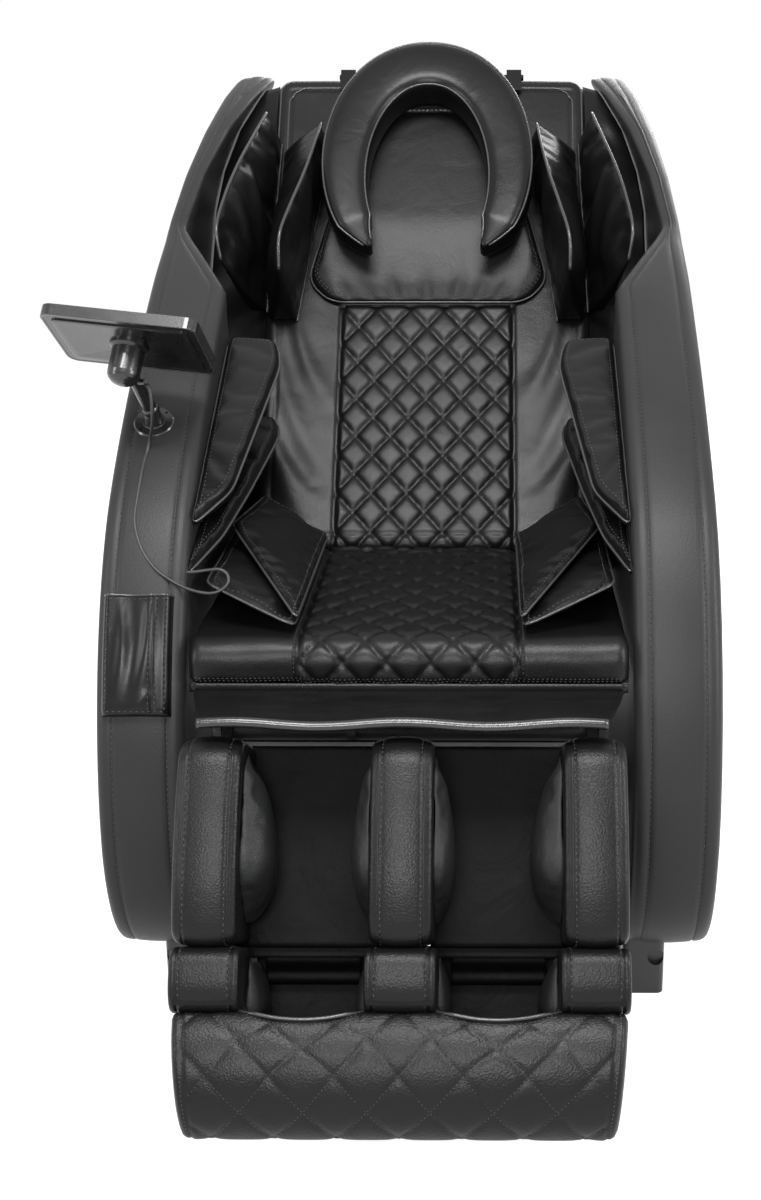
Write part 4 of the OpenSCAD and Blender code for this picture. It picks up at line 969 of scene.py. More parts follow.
x, z = slab_grid(FOOT_W / 2, 0, FOOT_RUN, FOOT_CORNER, STEP)
depth = rounded_box_depth(x, z, FOOT_W / 2, 0, FOOT_RUN, FOOT_CORNER)
relief = diamond_relief(x, z - FOOT_RUN / 2, FOOT_CELL, FOOT_TALL, 3.0, 0.12, 0.3)
relief = np.where(np.abs(x) < FOOT_W / 2 - 12, relief, 2.2) - roll_edge(depth, 9) - 3.0
relief = relief + groove(np.abs(x) - FOOT_W / 2 + 12, 2.0, 2.0)
foot = slab("foot_upholstery", on_foot, x, z, relief, -30, PEBBLED_LEATHER)
declare(foot, "foot", nodes_replaced=["foot_cover"], fill=0.7)
foot_tree = surface_of(foot)
quilting = []
v = np.arange(-FOOT_RUN / 2 + 6, FOOT_RUN / 2 - 8, 2.0)
for n in range(-6, 7):
    for lean in (1, -1):
        u = (n - lean * v / FOOT_TALL) * FOOT_CELL
        inside = np.abs(u) < FOOT_W / 2 - 14
        if inside.sum() > 8:
            quilting.append(laid_on(foot_tree, on_foot(u[inside], -2.0, v[inside] + FOOT_RUN / 2), 0.1))
v = np.arange(4, FOOT_RUN - 4, 2.0)
for side in (-1, 1):
    quilting.append(laid_on(foot_tree, on_foot(side * (FOOT_W / 2 - 9), 0.0, v), 0.2))
u = np.arange(-FOOT_W / 2 + 6, FOOT_W / 2 - 5, 2.0)
quilting.append(laid_on(foot_tree, on_foot(u, -1.0, FOOT_RUN - 9), 0.2))
sewn("foot_quilting", quilting, "foot", pitch=5.0, long=3.4, thick=0.55)
piped("foot_rim_piping", on_foot(u, -2.0, FOOT_RUN - 1.5), "foot", 2.4, sides=8)

# ---------- Sewn pads ----------
# Arm, hip, head, shoulder, neck and calf pads are covers sewn from flat panels and filled with foam and
# wadding. The arm, hip and head pads are drawn as their flat sewn outline, the shoulder wedges and neck pillow
# as closed skins, and these are swollen by a cloth simulation that holds their seams; the calf pads are swept blocks.


def edge_depth(points, outline):
    """Distance of plane points from a closed outline."""
    best = np.full(len(points), 1e9)
    for p, d in zip(outline, np.roll(outline, -1, 0) - outline):
        t = np.clip(((points - p) @ d) / max(d @ d, 1e-9), 0, 1)
        best = np.minimum(best, np.linalg.norm(points - p - t[:, None] * d, axis=1))
    return best


def rounded_outline(points, radius, count=6):
    """An outline with its corners rounded."""
    p = np.asarray(points, float)
    out = []
    for k in range(len(p)):
        before, at, after = p[k - 1], p[k], p[(k + 1) % len(p)]
        u, v = before - at, after - at
        lu, lv = np.linalg.norm(u), np.linalg.norm(v)
        cut = min(radius, lu * 0.45, lv * 0.45)
        a, b = at + u / lu * cut, at + v / lv * cut
        for t in np.linspace(0, 1, count):
            out.append(a * (1 - t) ** 2 + 2 * at * t * (1 - t) + b * t * t)
    return np.array(out)


def sewn_panel(name, outline, place, low, high, edge, step, base_flat=False, material=LEATHER):
    """A pad from a sewn outline: two faces between the same seam, each falling away towards it."""
    outline = resample(outline, 4, closed=True)
    v0, v1 = outline[:, 1].min(), outline[:, 1].max()
    nv = max(6, int((v1 - v0) / step)) + 1
    closed = np.vstack([outline, outline[:1]])
    rows = []
    for v in np.linspace(v0 + 0.4, v1 - 0.4, nv):
        crossing = []
        for a, b in zip(closed[:-1], closed[1:]):
            if (a[1] - v) * (b[1] - v) < 0:
                crossing.append(a[0] + (b[0] - a[0]) * (v - a[1]) / (b[1] - a[1]))
        rows.append((min(crossing), max(crossing), v))
    wide = max(r[1] - r[0] for r in rows)
    nu = max(6, int(wide / step)) + 1
    u = np.array([[a + (b - a) * t for t in np.linspace(0, 1, nu)] for a, b, _ in rows])
    v = np.repeat(np.array([r[2] for r in rows])[:, None], nu, 1)
    depth = edge_depth(np.stack([u.ravel(), v.ravel()], -1), outline).reshape(u.shape)
    swell = np.sqrt(np.clip(1 - (1 - np.clip(depth / edge, 0, 1)) ** 2, 0, 1))
    seam = low if base_flat else (low + high) / 2
    upper = place(u, seam + (high - seam) * swell, v).reshape(-1, 3)
    lower = place(u, seam + (low - seam) * swell - (0.01 if base_flat else 0), v).reshape(-1, 3)
    rim = rim_of(nv, nu)
    under = np.arange(nv * nu) + nv * nu
    under[rim] -= nv * nu
    faces = []
    for face in quads(nv, nu):
        faces += [face, tuple(under[list(face[::-1])])]
    obj = finish_piece(name, np.vstack([upper, lower]), faces, material)
    bpy.ops.object.mode_set(mode="EDIT")
    bpy.ops.mesh.select_all(action="SELECT")
    bpy.ops.mesh.delete_loose()
    bpy.ops.object.mode_set(mode="OBJECT")
    return obj, upper[rim]


def refine(obj):
    """One step of subdivision, shaded smooth."""
    sub = obj.modifiers.new("sub", "SUBSURF")
    sub.levels = sub.render_levels = 1
    bpy.ops.object.modifier_apply(modifier="sub")
    bpy.ops.object.shade_smooth()


CLOTH_FRAMES = 12


def inflate(obj, held, pressure, shrink, cap, bend):
    """Swells a sewn cover by cloth simulation; its seam points are held, and cloth cut too wide creases."""
    points = np.array([v.co for v in obj.data.vertices])
    tree = kdtree.KDTree(len(held))
    for i, p in enumerate(row(held)):
        tree.insert(p, i)
    tree.balance()
    group = obj.vertex_groups.new(name="seam")
    group.add([i for i, p in enumerate(points) if tree.find(p)[2] < 0.0012], 1.0, "REPLACE")
    select_only(obj)
    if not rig.quick():
        cloth = obj.modifiers.new("cloth", "CLOTH")
        options = cloth.settings
        options.vertex_group_mass = "seam"
        options.use_pressure = True
        options.uniform_pressure_force = pressure
        options.shrink_min = shrink
        options.effector_weights.gravity = 0
        options.quality = 5
        options.mass = 0.15
        options.tension_stiffness = options.compression_stiffness = 12.0
        options.shear_stiffness = 5
        options.bending_stiffness = bend
        cloth.collision_settings.use_collision = False
        for number in range(1, CLOTH_FRAMES + 1):
            bpy.context.scene.frame_set(number)
        shaped = obj.evaluated_get(bpy.context.evaluated_depsgraph_get())
        move = np.array([v.co for v in shaped.data.vertices]) - points
        obj.modifiers.remove(cloth)
        bpy.context.scene.frame_set(1)
        size = np.linalg.norm(move, axis=1, keepdims=True)
        limit = cap * 0.001
        move *= np.where(size > 0, limit * np.tanh(size / limit) / np.maximum(size, 1e-9), 1)
        obj.data.vertices.foreach_set("co", (points + move).ravel())
        obj.data.update()
    obj.vertex_groups.clear()
    refine(obj)


def edged(name, piece, body, seam_line, radius, stitch_lines):
    """Piping on a pad's seam and rows of stitches beside it."""
    line = resample(seam_line, 6, closed=True)
    for _ in range(2):
        line = (np.roll(line, 1, 0) + 2 * line + np.roll(line, -1, 0)) / 4
    piped(name + "_piping", line, body, radius, closed=True)
    tree = surface_of(piece)
    rows = [laid_on(tree, resample(one, 3, closed=True), 0.15) for one in stitch_lines]
    sewn(name + "_stitches", [np.vstack([r, r[:1]]) for r in rows], body)


def turns_left(line):
    """Whether a closed outline runs anticlockwise."""
    return (line[:, 0] * np.roll(line[:, 1], -1) - np.roll(line[:, 0], -1) * line[:, 1]).sum() > 0


def outward(line):
    """The directions out of a closed outline at its points."""
    tangent = unit(np.roll(line, -1, 0) - np.roll(line, 1, 0))
    out = np.stack([tangent[:, 1], -tangent[:, 0]], -1)
    return out if turns_left(line) else -out


def flat_lines(place, outline, inset, w):
    """A closed line on a panel, inside its outline and at a height over its middle."""
    line = resample(outline, 4, closed=True)
    line = line - outward(line) * inset
    return place(line[:, 0], np.full(len(line), float(w)), line[:, 1])


# Forearm pads: thick panels leaning inwards from each armrest, one above and one below the forearm.
ARM_X = 268.6
ARM_T = 26
ARM_PADS = {
    "upper": (-5, 796, 27.8, [(0, 0), (-70, -8), (-78, -60), (-42, -320), (0, -386)]),
    "lower": (-8, 684, 17.3, [(0, 0), (-66, -4), (-72, -50), (-50, -200), (-30, -310), (0, -396)]),
}
HIP_T = 14
HIP_PADS = {
    "lower": (513, 20, [(6, -430), (124, -385), (126, -60), (6, -60)]),
    "upper": (523.8, 28, [(3, -430), (126, -208), (108, -5), (3, -45)]),
}


def arm_place(side, y, z, slope):
    c, s = math.cos(math.radians(slope)), math.sin(math.radians(slope))

    def place(u, w, v):
        return np.stack([side * (ARM_X + u + 0 * w), y + v * c - w * s, z + v * s + w * c], -1)
    return place


def hip_place(side, z, rise):
    c, s = math.cos(math.radians(rise)), math.sin(math.radians(rise))

    def place(u, w, v):
        return np.stack([side * (QUILT_W / 2 + u * c - w * s), v + 0 * u, z + u * s + w * c], -1)
    return place


for side, name in ((-1, "left"), (1, "right")):
    for level, (y, z, slope, outline) in ARM_PADS.items():
        place = arm_place(side, y, z, slope)
        outline = rounded_outline(outline, 16)
        title = "arm_pad_" + level + "_soft_" + name
        piece, seam_line = sewn_panel(title, outline, place, -ARM_T / 2 + 1, ARM_T / 2 - 1, 7, 5.0)
        inflate(piece, seam_line, 1.2, -0.012, 3, bend=3.0)
        declare(piece, "base", nodes_replaced=["arm_pad_" + level + "_" + name], fill=0.75)
        edged(title, piece, "base", seam_line, 1.8, [flat_lines(place, outline, 9, w) for w in (12, -12)])
    for level, (z, rise, outline) in HIP_PADS.items():
        place = hip_place(side, z, rise)
        outline = rounded_outline(outline, 10)
        title = "hip_pad_" + level + "_soft_" + name
        piece, seam_line = sewn_panel(title, outline, place, -HIP_T / 2 + 1.5, HIP_T / 2 - 1.5, 8, 6.0)
        inflate(piece, seam_line, 2.0, -0.035, 5, bend=1.0)
        declare(piece, "base", nodes_replaced=["hip_pad_" + level + "_" + name], fill=0.6)
        edged(title, piece, "base", seam_line, 1.6, [flat_lines(place, outline, 8, 8)])

# Head pad: one flat-backed panel under the neck pillow, double-stitched along its lower edge.
HEAD_B, HEAD_T = 4.6, 32


def head_place(u, w, v):
    """Points on the head pad, which is thin at its lower edge and full higher up."""
    thin = np.clip((v - 405) / 150, 0, 1)
    return on_back(u, HEAD_B + w * (0.28 + 0.72 * thin * thin * (3 - 2 * thin)), v)


head_line = rounded_outline([(-150, 411), (150, 411), (186, 450), (150, 596), (120, 760), (-120, 760),
                             (-150, 596), (-186, 450)], 22)
head, seam_line = sewn_panel("head_pad_soft", head_line, head_place, 0, HEAD_T - 5, 16, 6.0, base_flat=True)
inflate(head, seam_line, 1.6, -0.012, 5, bend=3.0)
declare(head, "backrest", nodes_replaced=["head_pad"], fill=0.75)
edged("head_pad", head, "backrest", seam_line, 1.5,
      [flat_lines(head_place, head_line, inset, 30) for inset in (7, 11)])

# Shoulder wedges: wings that stand out of the backrest, each with a smooth inner and outer face. Listed
# are the feet of both faces at the upper and lower end, both heights, the free edge, and how far the
# faces bulge and hollow.
WEDGES = {
    "outer": ((238, 247), (262, 270), (704, 396),
              [(257, 54, 724), (270, 88, 655), (285, 116, 585), (298, 136, 515), (305, 148, 450),
               (300, 124, 412)], 16, 5),
    "inner": ((160, 200), (234, 243), (690, 380),
              [(170, 54, 704), (176, 84, 640), (186, 112, 570), (200, 136, 500), (212, 148, 440),
               (214, 124, 396)], 14, 6),
}
WEDGE_FOLDS = [((118, 120), (40, 236), 8.5, 11), ((128, 176), (62, 262), 7.0, 9),
               ((120, 250), (60, 268), 7.0, 9), ((60, 40), (30, 130), 3.5, 12)]
FOLD_PULL = {"outer": 1.0, "inner": 0.35}
FACE_ROWS = 17
for level, (xa, xb, ends, edge_points, bulge, hollow) in WEDGES.items():
    edge_line = smooth_line(edge_points, 6.0)
    t = np.linspace(0, 1, len(edge_line))[:, None]
    base_a, base_b = (np.hstack([x[0] + (x[1] - x[0]) * t, 0 * t + 1.5, ends[0] + (ends[1] - ends[0]) * t])
                      for x in (xa, xb))
    arch = np.hstack([np.sin(math.pi * (0.06 + 0.88 * t)), 0 * t, 0 * t])
    rings = []
    for u in np.linspace(0, 1, FACE_ROWS):
        out = math.sin(math.pi * min(1, u * 1.04))
        rings.append(base_a * (1 - u) + edge_line * u - arch * out * hollow)
    for u in np.linspace(0, 1, FACE_ROWS)[1:]:
        out = math.sin(math.pi * u) ** 0.8
        rings.append(edge_line * (1 - u) + base_b * u + arch * out * bulge)
    for u in np.linspace(0, 1, 7)[1:-1]:
        rings.append(base_b * (1 - u) + base_a * u)
    rings = np.array(rings).transpose(1, 0, 2)
    across, along = np.meshgrid(np.linspace(0, 140, FACE_ROWS), np.linspace(0, 300, len(edge_line)))
    fall = np.sin(math.pi * np.linspace(0, 1, FACE_ROWS))[None, :] ** 0.5
    rings[:, :FACE_ROWS, 0] -= creases(across, along, WEDGE_FOLDS) * fall * FOLD_PULL[level]
    for side, name in ((-1, "left"), (1, "right")):
        title = "shoulder_wedge_" + level + "_" + name
        wing = on_back(side * rings[..., 0], rings[..., 1], rings[..., 2])
        piece = skin(title, wing, SMOOTH_LEATHER)
        held = np.vstack([wing[:, 0], wing[:, 16], wing[:, 32], wing[:, 33:].reshape(-1, 3), wing[0],
                          wing[-1]])
        inflate(piece, held, 2.0, -0.02, 6, bend=6.0)
        declare(piece, "backrest", nodes_replaced=["shoulder_pad_" + level + "_" + name], fill=0.65)
        piped(title + "_piping", wing[:, 16], "backrest", 2.5)
        piped(title + "_base_piping", wing[:, 0], "backrest", 1.6)

# Neck pillow: a thick horseshoe, sewn from a front and a back panel with a seam round its outer rim.
PILLOW_B = 73
PILLOW_POINTS = 48
RING_POINTS = 28
RIM_SEAM, ARCH_SEAM = 3, 11
half_line = bezier([(-84, 462), (-164, 548), (-130, 784), (0, 784)], PILLOW_POINTS)
pillow_line = np.vstack([half_line, [(0, 784)], half_line[::-1] * (-1, 1)])
rings = []
for k, (p, t) in enumerate(zip(pillow_line, unit(np.gradient(pillow_line, axis=0)))):
    along = 1 - abs(k - PILLOW_POINTS) / PILLOW_POINTS
    half = 17 + 27 * math.sin(math.radians(90 * along)) ** 0.5
    end = min(1, 0.25 + 6 * along)
    for a in np.arange(RING_POINTS) * 2 * math.pi / RING_POINTS:
        c, s = math.cos(a), math.sin(a)
        c, s = math.copysign(abs(c) ** 0.5, c), math.copysign(abs(s) ** 0.62, s)
        rise = (14 + 0.45 * half) if s > 0 else (39 - 6 * (1 - along))
        rings.append((p[0] + t[1] * half * c * end, PILLOW_B + s * rise * (0.4 + 0.6 * end),
                      p[1] - t[0] * half * c * end))
rings = np.array(rings).reshape(-1, RING_POINTS, 3)
rings = on_back(rings[..., 0], rings[..., 1], rings[..., 2])
pillow = skin("neck_pillow_soft", rings, SMOOTH_LEATHER)
held = np.vstack([rings[:, RIM_SEAM], rings[:, ARCH_SEAM], rings[:, 19:24].reshape(-1, 3)])
inflate(pillow, held, 1.0, 0.0, 3, bend=8.0)
declare(pillow, "backrest", nodes_replaced=["neck_pillow"], fill=0.8)
piped("neck_pillow_rim_piping", rings[1:-1, RIM_SEAM], "backrest", 1.7)
piped("neck_pillow_arch_piping", rings[1:-1, ARCH_SEAM], "backrest", 1.7)

# Calf pads: tall padded blocks either side of the calf wells and between them. The bridge pads over the
# joint between leg rest and foot section are made the same way.
SEAM = 4
DENT = 1.8


def block_pad(name, outline, x0, x1, body, replaced, corner, crown):
    """A padded block: an outline swept across, its rim rounded, with sewn seams near both edges."""
    line = resample(rounded_outline(outline, 22), 7, closed=True)
    out = outward(line)
    mid = (line.min(0) + line.max(0)) / 2
    inner = line - out * corner
    seams = (x0 + corner + SEAM, x1 - corner - SEAM)
    rings = [(x0 + d, inner + (mid - inner) * k) for d, k in ((0.3, 0.94), (0.1, 0.6), (0, 0.3))]
    for a in np.linspace(0, math.pi / 2, 6):
        rings.append((x0 + corner * (1 - math.cos(a)), line - out * corner * (1 - math.sin(a))))
    by_seam = SEAM * np.array([0.5, 0.8, 1.0, 1.2, 1.5])
    for x in np.unique(np.r_[x0 + corner + by_seam, x1 - corner - by_seam,
                             np.linspace(x0 + corner + SEAM * 2, x1 - corner - SEAM * 2, 7)]):
        t = (x - x0) / (x1 - x0)
        rise = crown * math.sin(math.pi * t)
        for at in seams:
            rise -= DENT * math.exp(-((x - at) / DENT) ** 2)
        rings.append((x, line + out * rise))
    for a in np.linspace(math.pi / 2, 0, 6):
        rings.append((x1 - corner * (1 - math.cos(a)), line - out * corner * (1 - math.sin(a))))
    rings += [(x1 - d, inner + (mid - inner) * k) for d, k in ((0, 0.3), (0.1, 0.6), (0.3, 0.94))]
    piece = skin(name, np.array([on_leg(x, r[:, 1], r[:, 0]) for x, r in rings]), PEBBLED_LEATHER)
    refine(piece)
    declare(piece, body, nodes_replaced=replaced, fill=0.85)
    tree = surface_of(piece)
    rows = [laid_on(tree, on_leg(x, line[:, 1], line[:, 0]), 0.2) for x in (seams[0] + 2.4, seams[1] - 2.4)]
    sewn(name + "_stitches", [np.vstack([r, r[:1]]) for r in rows], body)


CALF_IN, CALF_OUT = 177, 248
MIDDLE_HALF = 35
calf_outline = [(-256, 58.5), (-256, 172), (-200, 184), (-110, 186), (-48, 178), (-31, 150), (-31, 58.5)]
bridge_outline = [(-330, 54), (-330, 158), (-308, 173), (-259, 173), (-259, 54)]
for name, x0, x1 in (("left", -CALF_OUT, -CALF_IN), ("middle", -MIDDLE_HALF, MIDDLE_HALF),
                     ("right", CALF_IN, CALF_OUT)):
    block_pad("calf_block_" + name, calf_outline, x0, x1, "legrest", ["calf_pad_" + name], 8, 4.5)
for name, x0, x1 in (("left", -CALF_OUT - 1, -CALF_IN + 4), ("middle", -MIDDLE_HALF - 4, MIDDLE_HALF + 4),
                     ("right", CALF_IN - 4, CALF_OUT + 1)):
    block_pad("bridge_" + name, bridge_outline, x0, x1, "foot", [], 5, 0.6)

nodes["pillow_straps"].material_slots[0].material = SMOOTH_LEATHER

# Pocket: a pouch of leather cloth on the left band for a hand control, open at its top, with a flat
# strip down its inner side. Its cloth hangs loose, so it creases from corner to corner.
POCKET_X, POCKET_W, POCKET_H = -366, 83, 132
POUCH_DEEP = 14.5
band_curve = bezier(BAND_FRONT, 400)
band_slope = np.gradient(band_curve, axis=0)
POUCH_FOLDS = [((22, 130), (16, 8), 3.2, 8), ((56, 126), (40, 10), 4.6, 9), ((60, 30), (30, 4), 2.2, 8)]


def on_band(x, w, t):
    """Points on the left band: across it, out of it and along the pocket's stretch of it, 0 to 1."""
    x, w, t = np.broadcast_arrays(np.asarray(x, float), w, t)
    at = np.arange(len(band_curve))
    k = (0.44 + 0.34 * t) * (len(band_curve) - 1)
    y, z, dy, dz = (np.interp(k, at, values) for values in (*band_curve.T, *band_slope.T))
    size = np.hypot(dy, dz)
    return np.stack([x, y - w * dz / size, z + w * dy / size], -1)


def rounded_rise(t):
    """From 0 to 1 along a quarter circle."""
    return np.sqrt(np.clip(1 - (1 - t) ** 2, 0, 1))


u, v = np.meshgrid(np.linspace(0, 1, 54), np.linspace(0, 1, 80))
side_fall = np.clip(np.minimum(u, 1 - u) * POCKET_W / 9, 0, 1)
end_fall = np.clip(v * POCKET_H / 10, 0, 1)
hang = POUCH_DEEP * rounded_rise(side_fall) * rounded_rise(end_fall)
loose = creases(u * POCKET_W, v * POCKET_H, POUCH_FOLDS)
dip = -5.0 * np.exp(-((u - 0.42) / 0.22) ** 2 - ((v - 1) / 0.3) ** 2)
strip = groove(u * POCKET_W - 62, 1.6, 2.2)
w = np.maximum(0.6, hang + (loose + dip) * np.minimum(side_fall, end_fall) + strip * end_fall)
pouch = curtain("remote_pocket_pouch", on_band(POCKET_X + POCKET_W * u, w, v), 2.0, SMOOTH_LEATHER, "base",
                "hung", ["side_left"])
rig.replaces(pouch, "remote_pocket")
pouch_tree = surface_of(pouch)
lines = [on_band(POCKET_X + POCKET_W * a, 18, np.linspace(0.03, 0.99, 60)) for a in (0.05, 0.70, 0.79, 0.955)]
across = np.linspace(POCKET_X + 4, POCKET_X + POCKET_W - 4, 40)
lines += [on_band(across, 18, t) for t in (0.965, 0.035)]
sewn("remote_pocket_stitches", [laid_on(pouch_tree, line, 0.2) for line in lines], "base")
hem = np.interp(np.linspace(0, 53, 50), np.arange(54), w[-1]) + 0.6
across = np.linspace(POCKET_X + 1, POCKET_X + POCKET_W - 1, 50)
piped("remote_pocket_hem", on_band(across, hem, 0.995), "base", 1.6)

# ---------- Linings and gussets ----------
# Black cloth closes the openings between the padded parts: the backs of the calf wells, the slide between
# leg rest and foot section, the gap between backrest and side shells, and the front of the seat board. The
# lining cloth in the wells and the slide is darker and duller than the leather, a painted shade for their depth.

WELL_MIDDLE = 107
GUSSET_IN = 249
for side, name in ((-1, "left"), (1, "right")):
    u, v = np.meshgrid(np.linspace(0, 1, 30), np.linspace(0, 1, 40))
    x, z = side * (29 + 154 * u), -257.6 + 230.6 * v
    b = 59.2 + 1.2 * uneven(x * 1.2, z * 0.25, 0, 30)
    curtain("well_lining_" + name, on_leg(x, b, z), -0.8 * side, LINING, "legrest",
            rests_on=["legrest_frame"])
    u, v = np.meshgrid(np.linspace(0, 1, 30), np.linspace(0, 1, 24))
    x = side * (WELL_MIDDLE + (65 - 10 * np.clip((v - 0.2) * 8, 0, 1)) * (2 * u - 1))
    b = 57 - 34 * v + 2.5 * np.sin(v * 5 * math.pi)
    fold = curtain("well_bellows_" + name, on_leg(x, b, -250 - 50 * v), -0.8 * side, LINING, held="gathered",
                   rests_on=["foot_shell"])
    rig.blend(fold, "legrest", "foot", start=row(on_leg(0, 50, -252)), end=row(on_leg(0, 30, -296)))
    u, v = np.meshgrid(np.linspace(0, 1, 26), np.linspace(0, 1, 110))
    z = -16 + 842 * v
    deep = 24 - 14 * np.clip((z - 560) / 200, 0, 1)
    reach = np.maximum(inner_x(on_back(0, -12 - deep, z)[..., 1:]) - 2, 253)
    x = GUSSET_IN + (reach - GUSSET_IN) * u
    folds = 5 * np.sin(math.pi * u) * uneven(x * 0.35 + z * 0.2, z * 0.6, 0, 32, side)
    b = -12 - deep * u ** 0.7 + folds * np.clip((830 - z) / 60, 0, 1)
    curtain("back_gusset_" + name, on_back(side * x, b, z), 1.5 * side, SMOOTH_LEATHER, "backrest",
            rests_on=["back_upholstery"])

u, v = np.meshgrid(np.linspace(-1, 1, 60), np.linspace(0, 1, 5))
apron = np.stack([261 * u, -452 - 1.2 * np.sin(math.pi * v), 440.8 + 10.4 * v], -1)
curtain("seat_apron", apron, -1.8, SMOOTH_LEATHER, "base", rests_on=["seat_pan"])
u, v = np.meshgrid(np.linspace(-247, 247, 60), np.linspace(0, 1, 5))
curtain("foot_flap", on_leg(u, 52 - 1.5 * v, -269.6 + 13.2 * v), -1.0, LINING, "foot",
        rests_on=["foot_shell"])
curtain("legrest_valance", on_leg(u * 205 / 247, 46 + v, -31 + 13 * v), -1.0, LINING, "legrest",
        rests_on=["legrest_frame"])
# The foot shell takes the lining's painted shade as well.
nodes["foot_shell"].material_slots[0].material = LINING
nodes["pivot_pins"].material_slots[0].material = plain("blackened_steel", (0.03, 0.03, 0.031), 0.4, metal=0.6)

# ---------- Air cushions ----------
# Flat leaf-shaped bags of coated cloth, welded at their edges, that lie on the walls of the calf and foot
# wells until they are filled. Each is half swollen, fullest in its lower third.


def air_leaf(name, wall, turn, b_range, z_range, thick, body):
    """A bag on a well's wall, which stands at the distance wall from the middle plane and faces turn."""
    b0, b1 = b_range
    z0, z1 = z_range
    tall, deep = z1 - z0, b1 - b0

    def place(u, w, v):
        t = np.clip((v - z0) / tall, 0, 1)
        full = np.sin(math.pi * t ** 0.7) ** 0.8
        return on_leg(wall + turn * (w * full + 0.4), u, v)

    leaf = rounded_outline([(b0, z0 + 0.2 * tall), (b0 + 0.3 * deep, z0), (b1, z0 + 0.3 * tall),
                            (b1 - 0.1 * deep, z1 - 0.1 * tall), (b1 - 0.4 * deep, z1),
                            (b0, z1 - 0.1 * tall)], 20)
    piece, seam_line = sewn_panel(name, leaf, place, 0, thick, deep * 0.42, 5.0, True,
                                  FINISHES["airbag_cloth"])
    inflate(piece, seam_line, 1.0, -0.03, 3, bend=2.0)
    return declare(piece, body, "airbag_cloth", fill=0.35)


LEAVES = [("calf", "legrest", MIDDLE_HALF, CALF_IN, (62, 174), (-242, -42), 20, 32),
          ("foot", "foot", MIDDLE_HALF + 4, CALF_IN - 4, (20, 112), (-366, -266), 14, 20)]
for part, body, near_mid, near_side, b_range, z_range, thin, thick in LEAVES:
    for side, name in ((-1, "left"), (1, "right")):
        first = air_leaf(part + "_air_inner_" + name, side * near_mid, side, b_range, z_range, thin, body)
        air_leaf(part + "_air_outer_" + name, side * near_side, -side, b_range, z_range, thick, body)
    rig.replaces(first, part + "_airbags")

# ---------- Skirt ----------
# One sheet of leather cloth from under the seat's front roll to the top of the leg rest, sagging between,
# with a round bar sewn into its front edge.
SKIRT_HALF = (258, 227)
skirt_line = smooth_line([(0, -445.5, 441), (0, -480, 439.5), (0, -530, 443), (0, -592, 451)], 4)
run = run_along(skirt_line)
share = (run / run[-1])[:, None]
half = SKIRT_HALF[0] + (SKIRT_HALF[1] - SKIRT_HALF[0]) * run / run[-1]
across = np.linspace(-1, 1, 81)[None, :]
x = across * half[:, None]
y = skirt_line[:, None, 1] + 0 * x
ripple = uneven(x * 0.35, y, 0, 22, 5) * 2.6 * np.sin(math.pi * share)
swing = 2.6 * np.cos(across * 2.4 * math.pi) * share ** 2
grid = np.stack([x, y, skirt_line[:, None, 2] + 3.0 + ripple + swing], -1)
skirt = cloth_between("skirt_cloth", grid, grid - (0, 0, 1.6), SMOOTH_LEATHER)
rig.replaces(skirt, "skirt_flap")
skirt_area = float((2 * half[:-1] * np.diff(run)).sum()) * 1e-6
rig.sheet(skirt, flat=(0.516, float(run[-1]) * 0.001), held="hung",
         rests_on=["seat_upholstery", "legrest_frame"], area=skirt_area)
# The bar's leather is lighter than the skirt's: partly a painted highlight on the round bar, on top of its real gloss.
BAR_LEATHER = leather("bar_leather_painted_highlight", (0.014, 0.014, 0.0145), 0.12, 0.06, 0.05, 700, shine=0.6)
bar = tube("skirt_bar", grid[-1] + (0, -1.0, 0.4), 6.0, BAR_LEATHER, sides=16)
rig.slot(bar, "black_leather")
for piece in (skirt, bar):
    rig.blend(piece, "base", "legrest", start=row((0, -482, 441)), end=row((0, -585, 450)))

# ---------- Tablet ----------
# The tablet lies in a holder of glossy black plastic on a ball joint: a rim bead round the back, a shallow
# cover plate let into it, and the glass in front. They are modelled flat and then turned onto the ball.
TABLET_PLACE = (Matrix.Translation(row((-348.0, -293.6, 807.9)))
                @ Euler([math.radians(a) for a in (57, 5, -6)]).to_matrix().to_4x4())
HOLDER = plain("holder_plastic", (0.008, 0.008, 0.0085), 0.26, coat=0.3)
# The rim's plastic is lighter than the holder's: a painted highlight along the bevel, besides its gloss.
RIM = plain("rim_plastic_painted_highlight", (0.05, 0.05, 0.052), 0.16, coat=0.5)
GLASS = plain("screen_glass", (0.004, 0.004, 0.005), 0.08, coat=1.0, bump=0.0)
for source in ("tablet", "tablet_arm", "tablet_flange"):
    nodes[source].material_slots[0].material = HOLDER


def select_where(obj, kind, test):
    """In edit mode, selects only the faces or edges whose middle and direction pass a test."""
    bpy.ops.mesh.select_mode(type=kind)
    bpy.ops.mesh.select_all(action="DESELECT")
    bpy.ops.object.mode_set(mode="OBJECT")
    corners = obj.data.vertices
    if kind == "FACE":
        for face in obj.data.polygons:
            face.select = bool(test(face.center, face.normal))
    else:
        for edge in obj.data.edges:
            a, b = corners[edge.vertices[0]].co, corners[edge.vertices[1]].co
            edge.select = bool(test((a + b) / 2, (b - a).normalized()))
    bpy.ops.object.mode_set(mode="EDIT")


def plate(name, size, at, corner, material):
    """A flat plate with rounded corners, standing across the tablet's depth; it is left in edit mode."""
    bpy.ops.object.select_all(action="DESELECT")
    bpy.ops.mesh.primitive_cube_add(size=1, location=(0, at, 0), scale=size)
    obj = bpy.context.active_object
    obj.name = name
    bpy.ops.object.transform_apply(location=True, rotation=True, scale=True)
    obj.data.materials.append(material)
    bpy.ops.object.mode_set(mode="EDIT")
    select_where(obj, "EDGE", lambda middle, way: abs(way.y) > 0.9)
    bpy.ops.mesh.bevel(offset=corner, segments=8, affect="EDGES")
    return obj


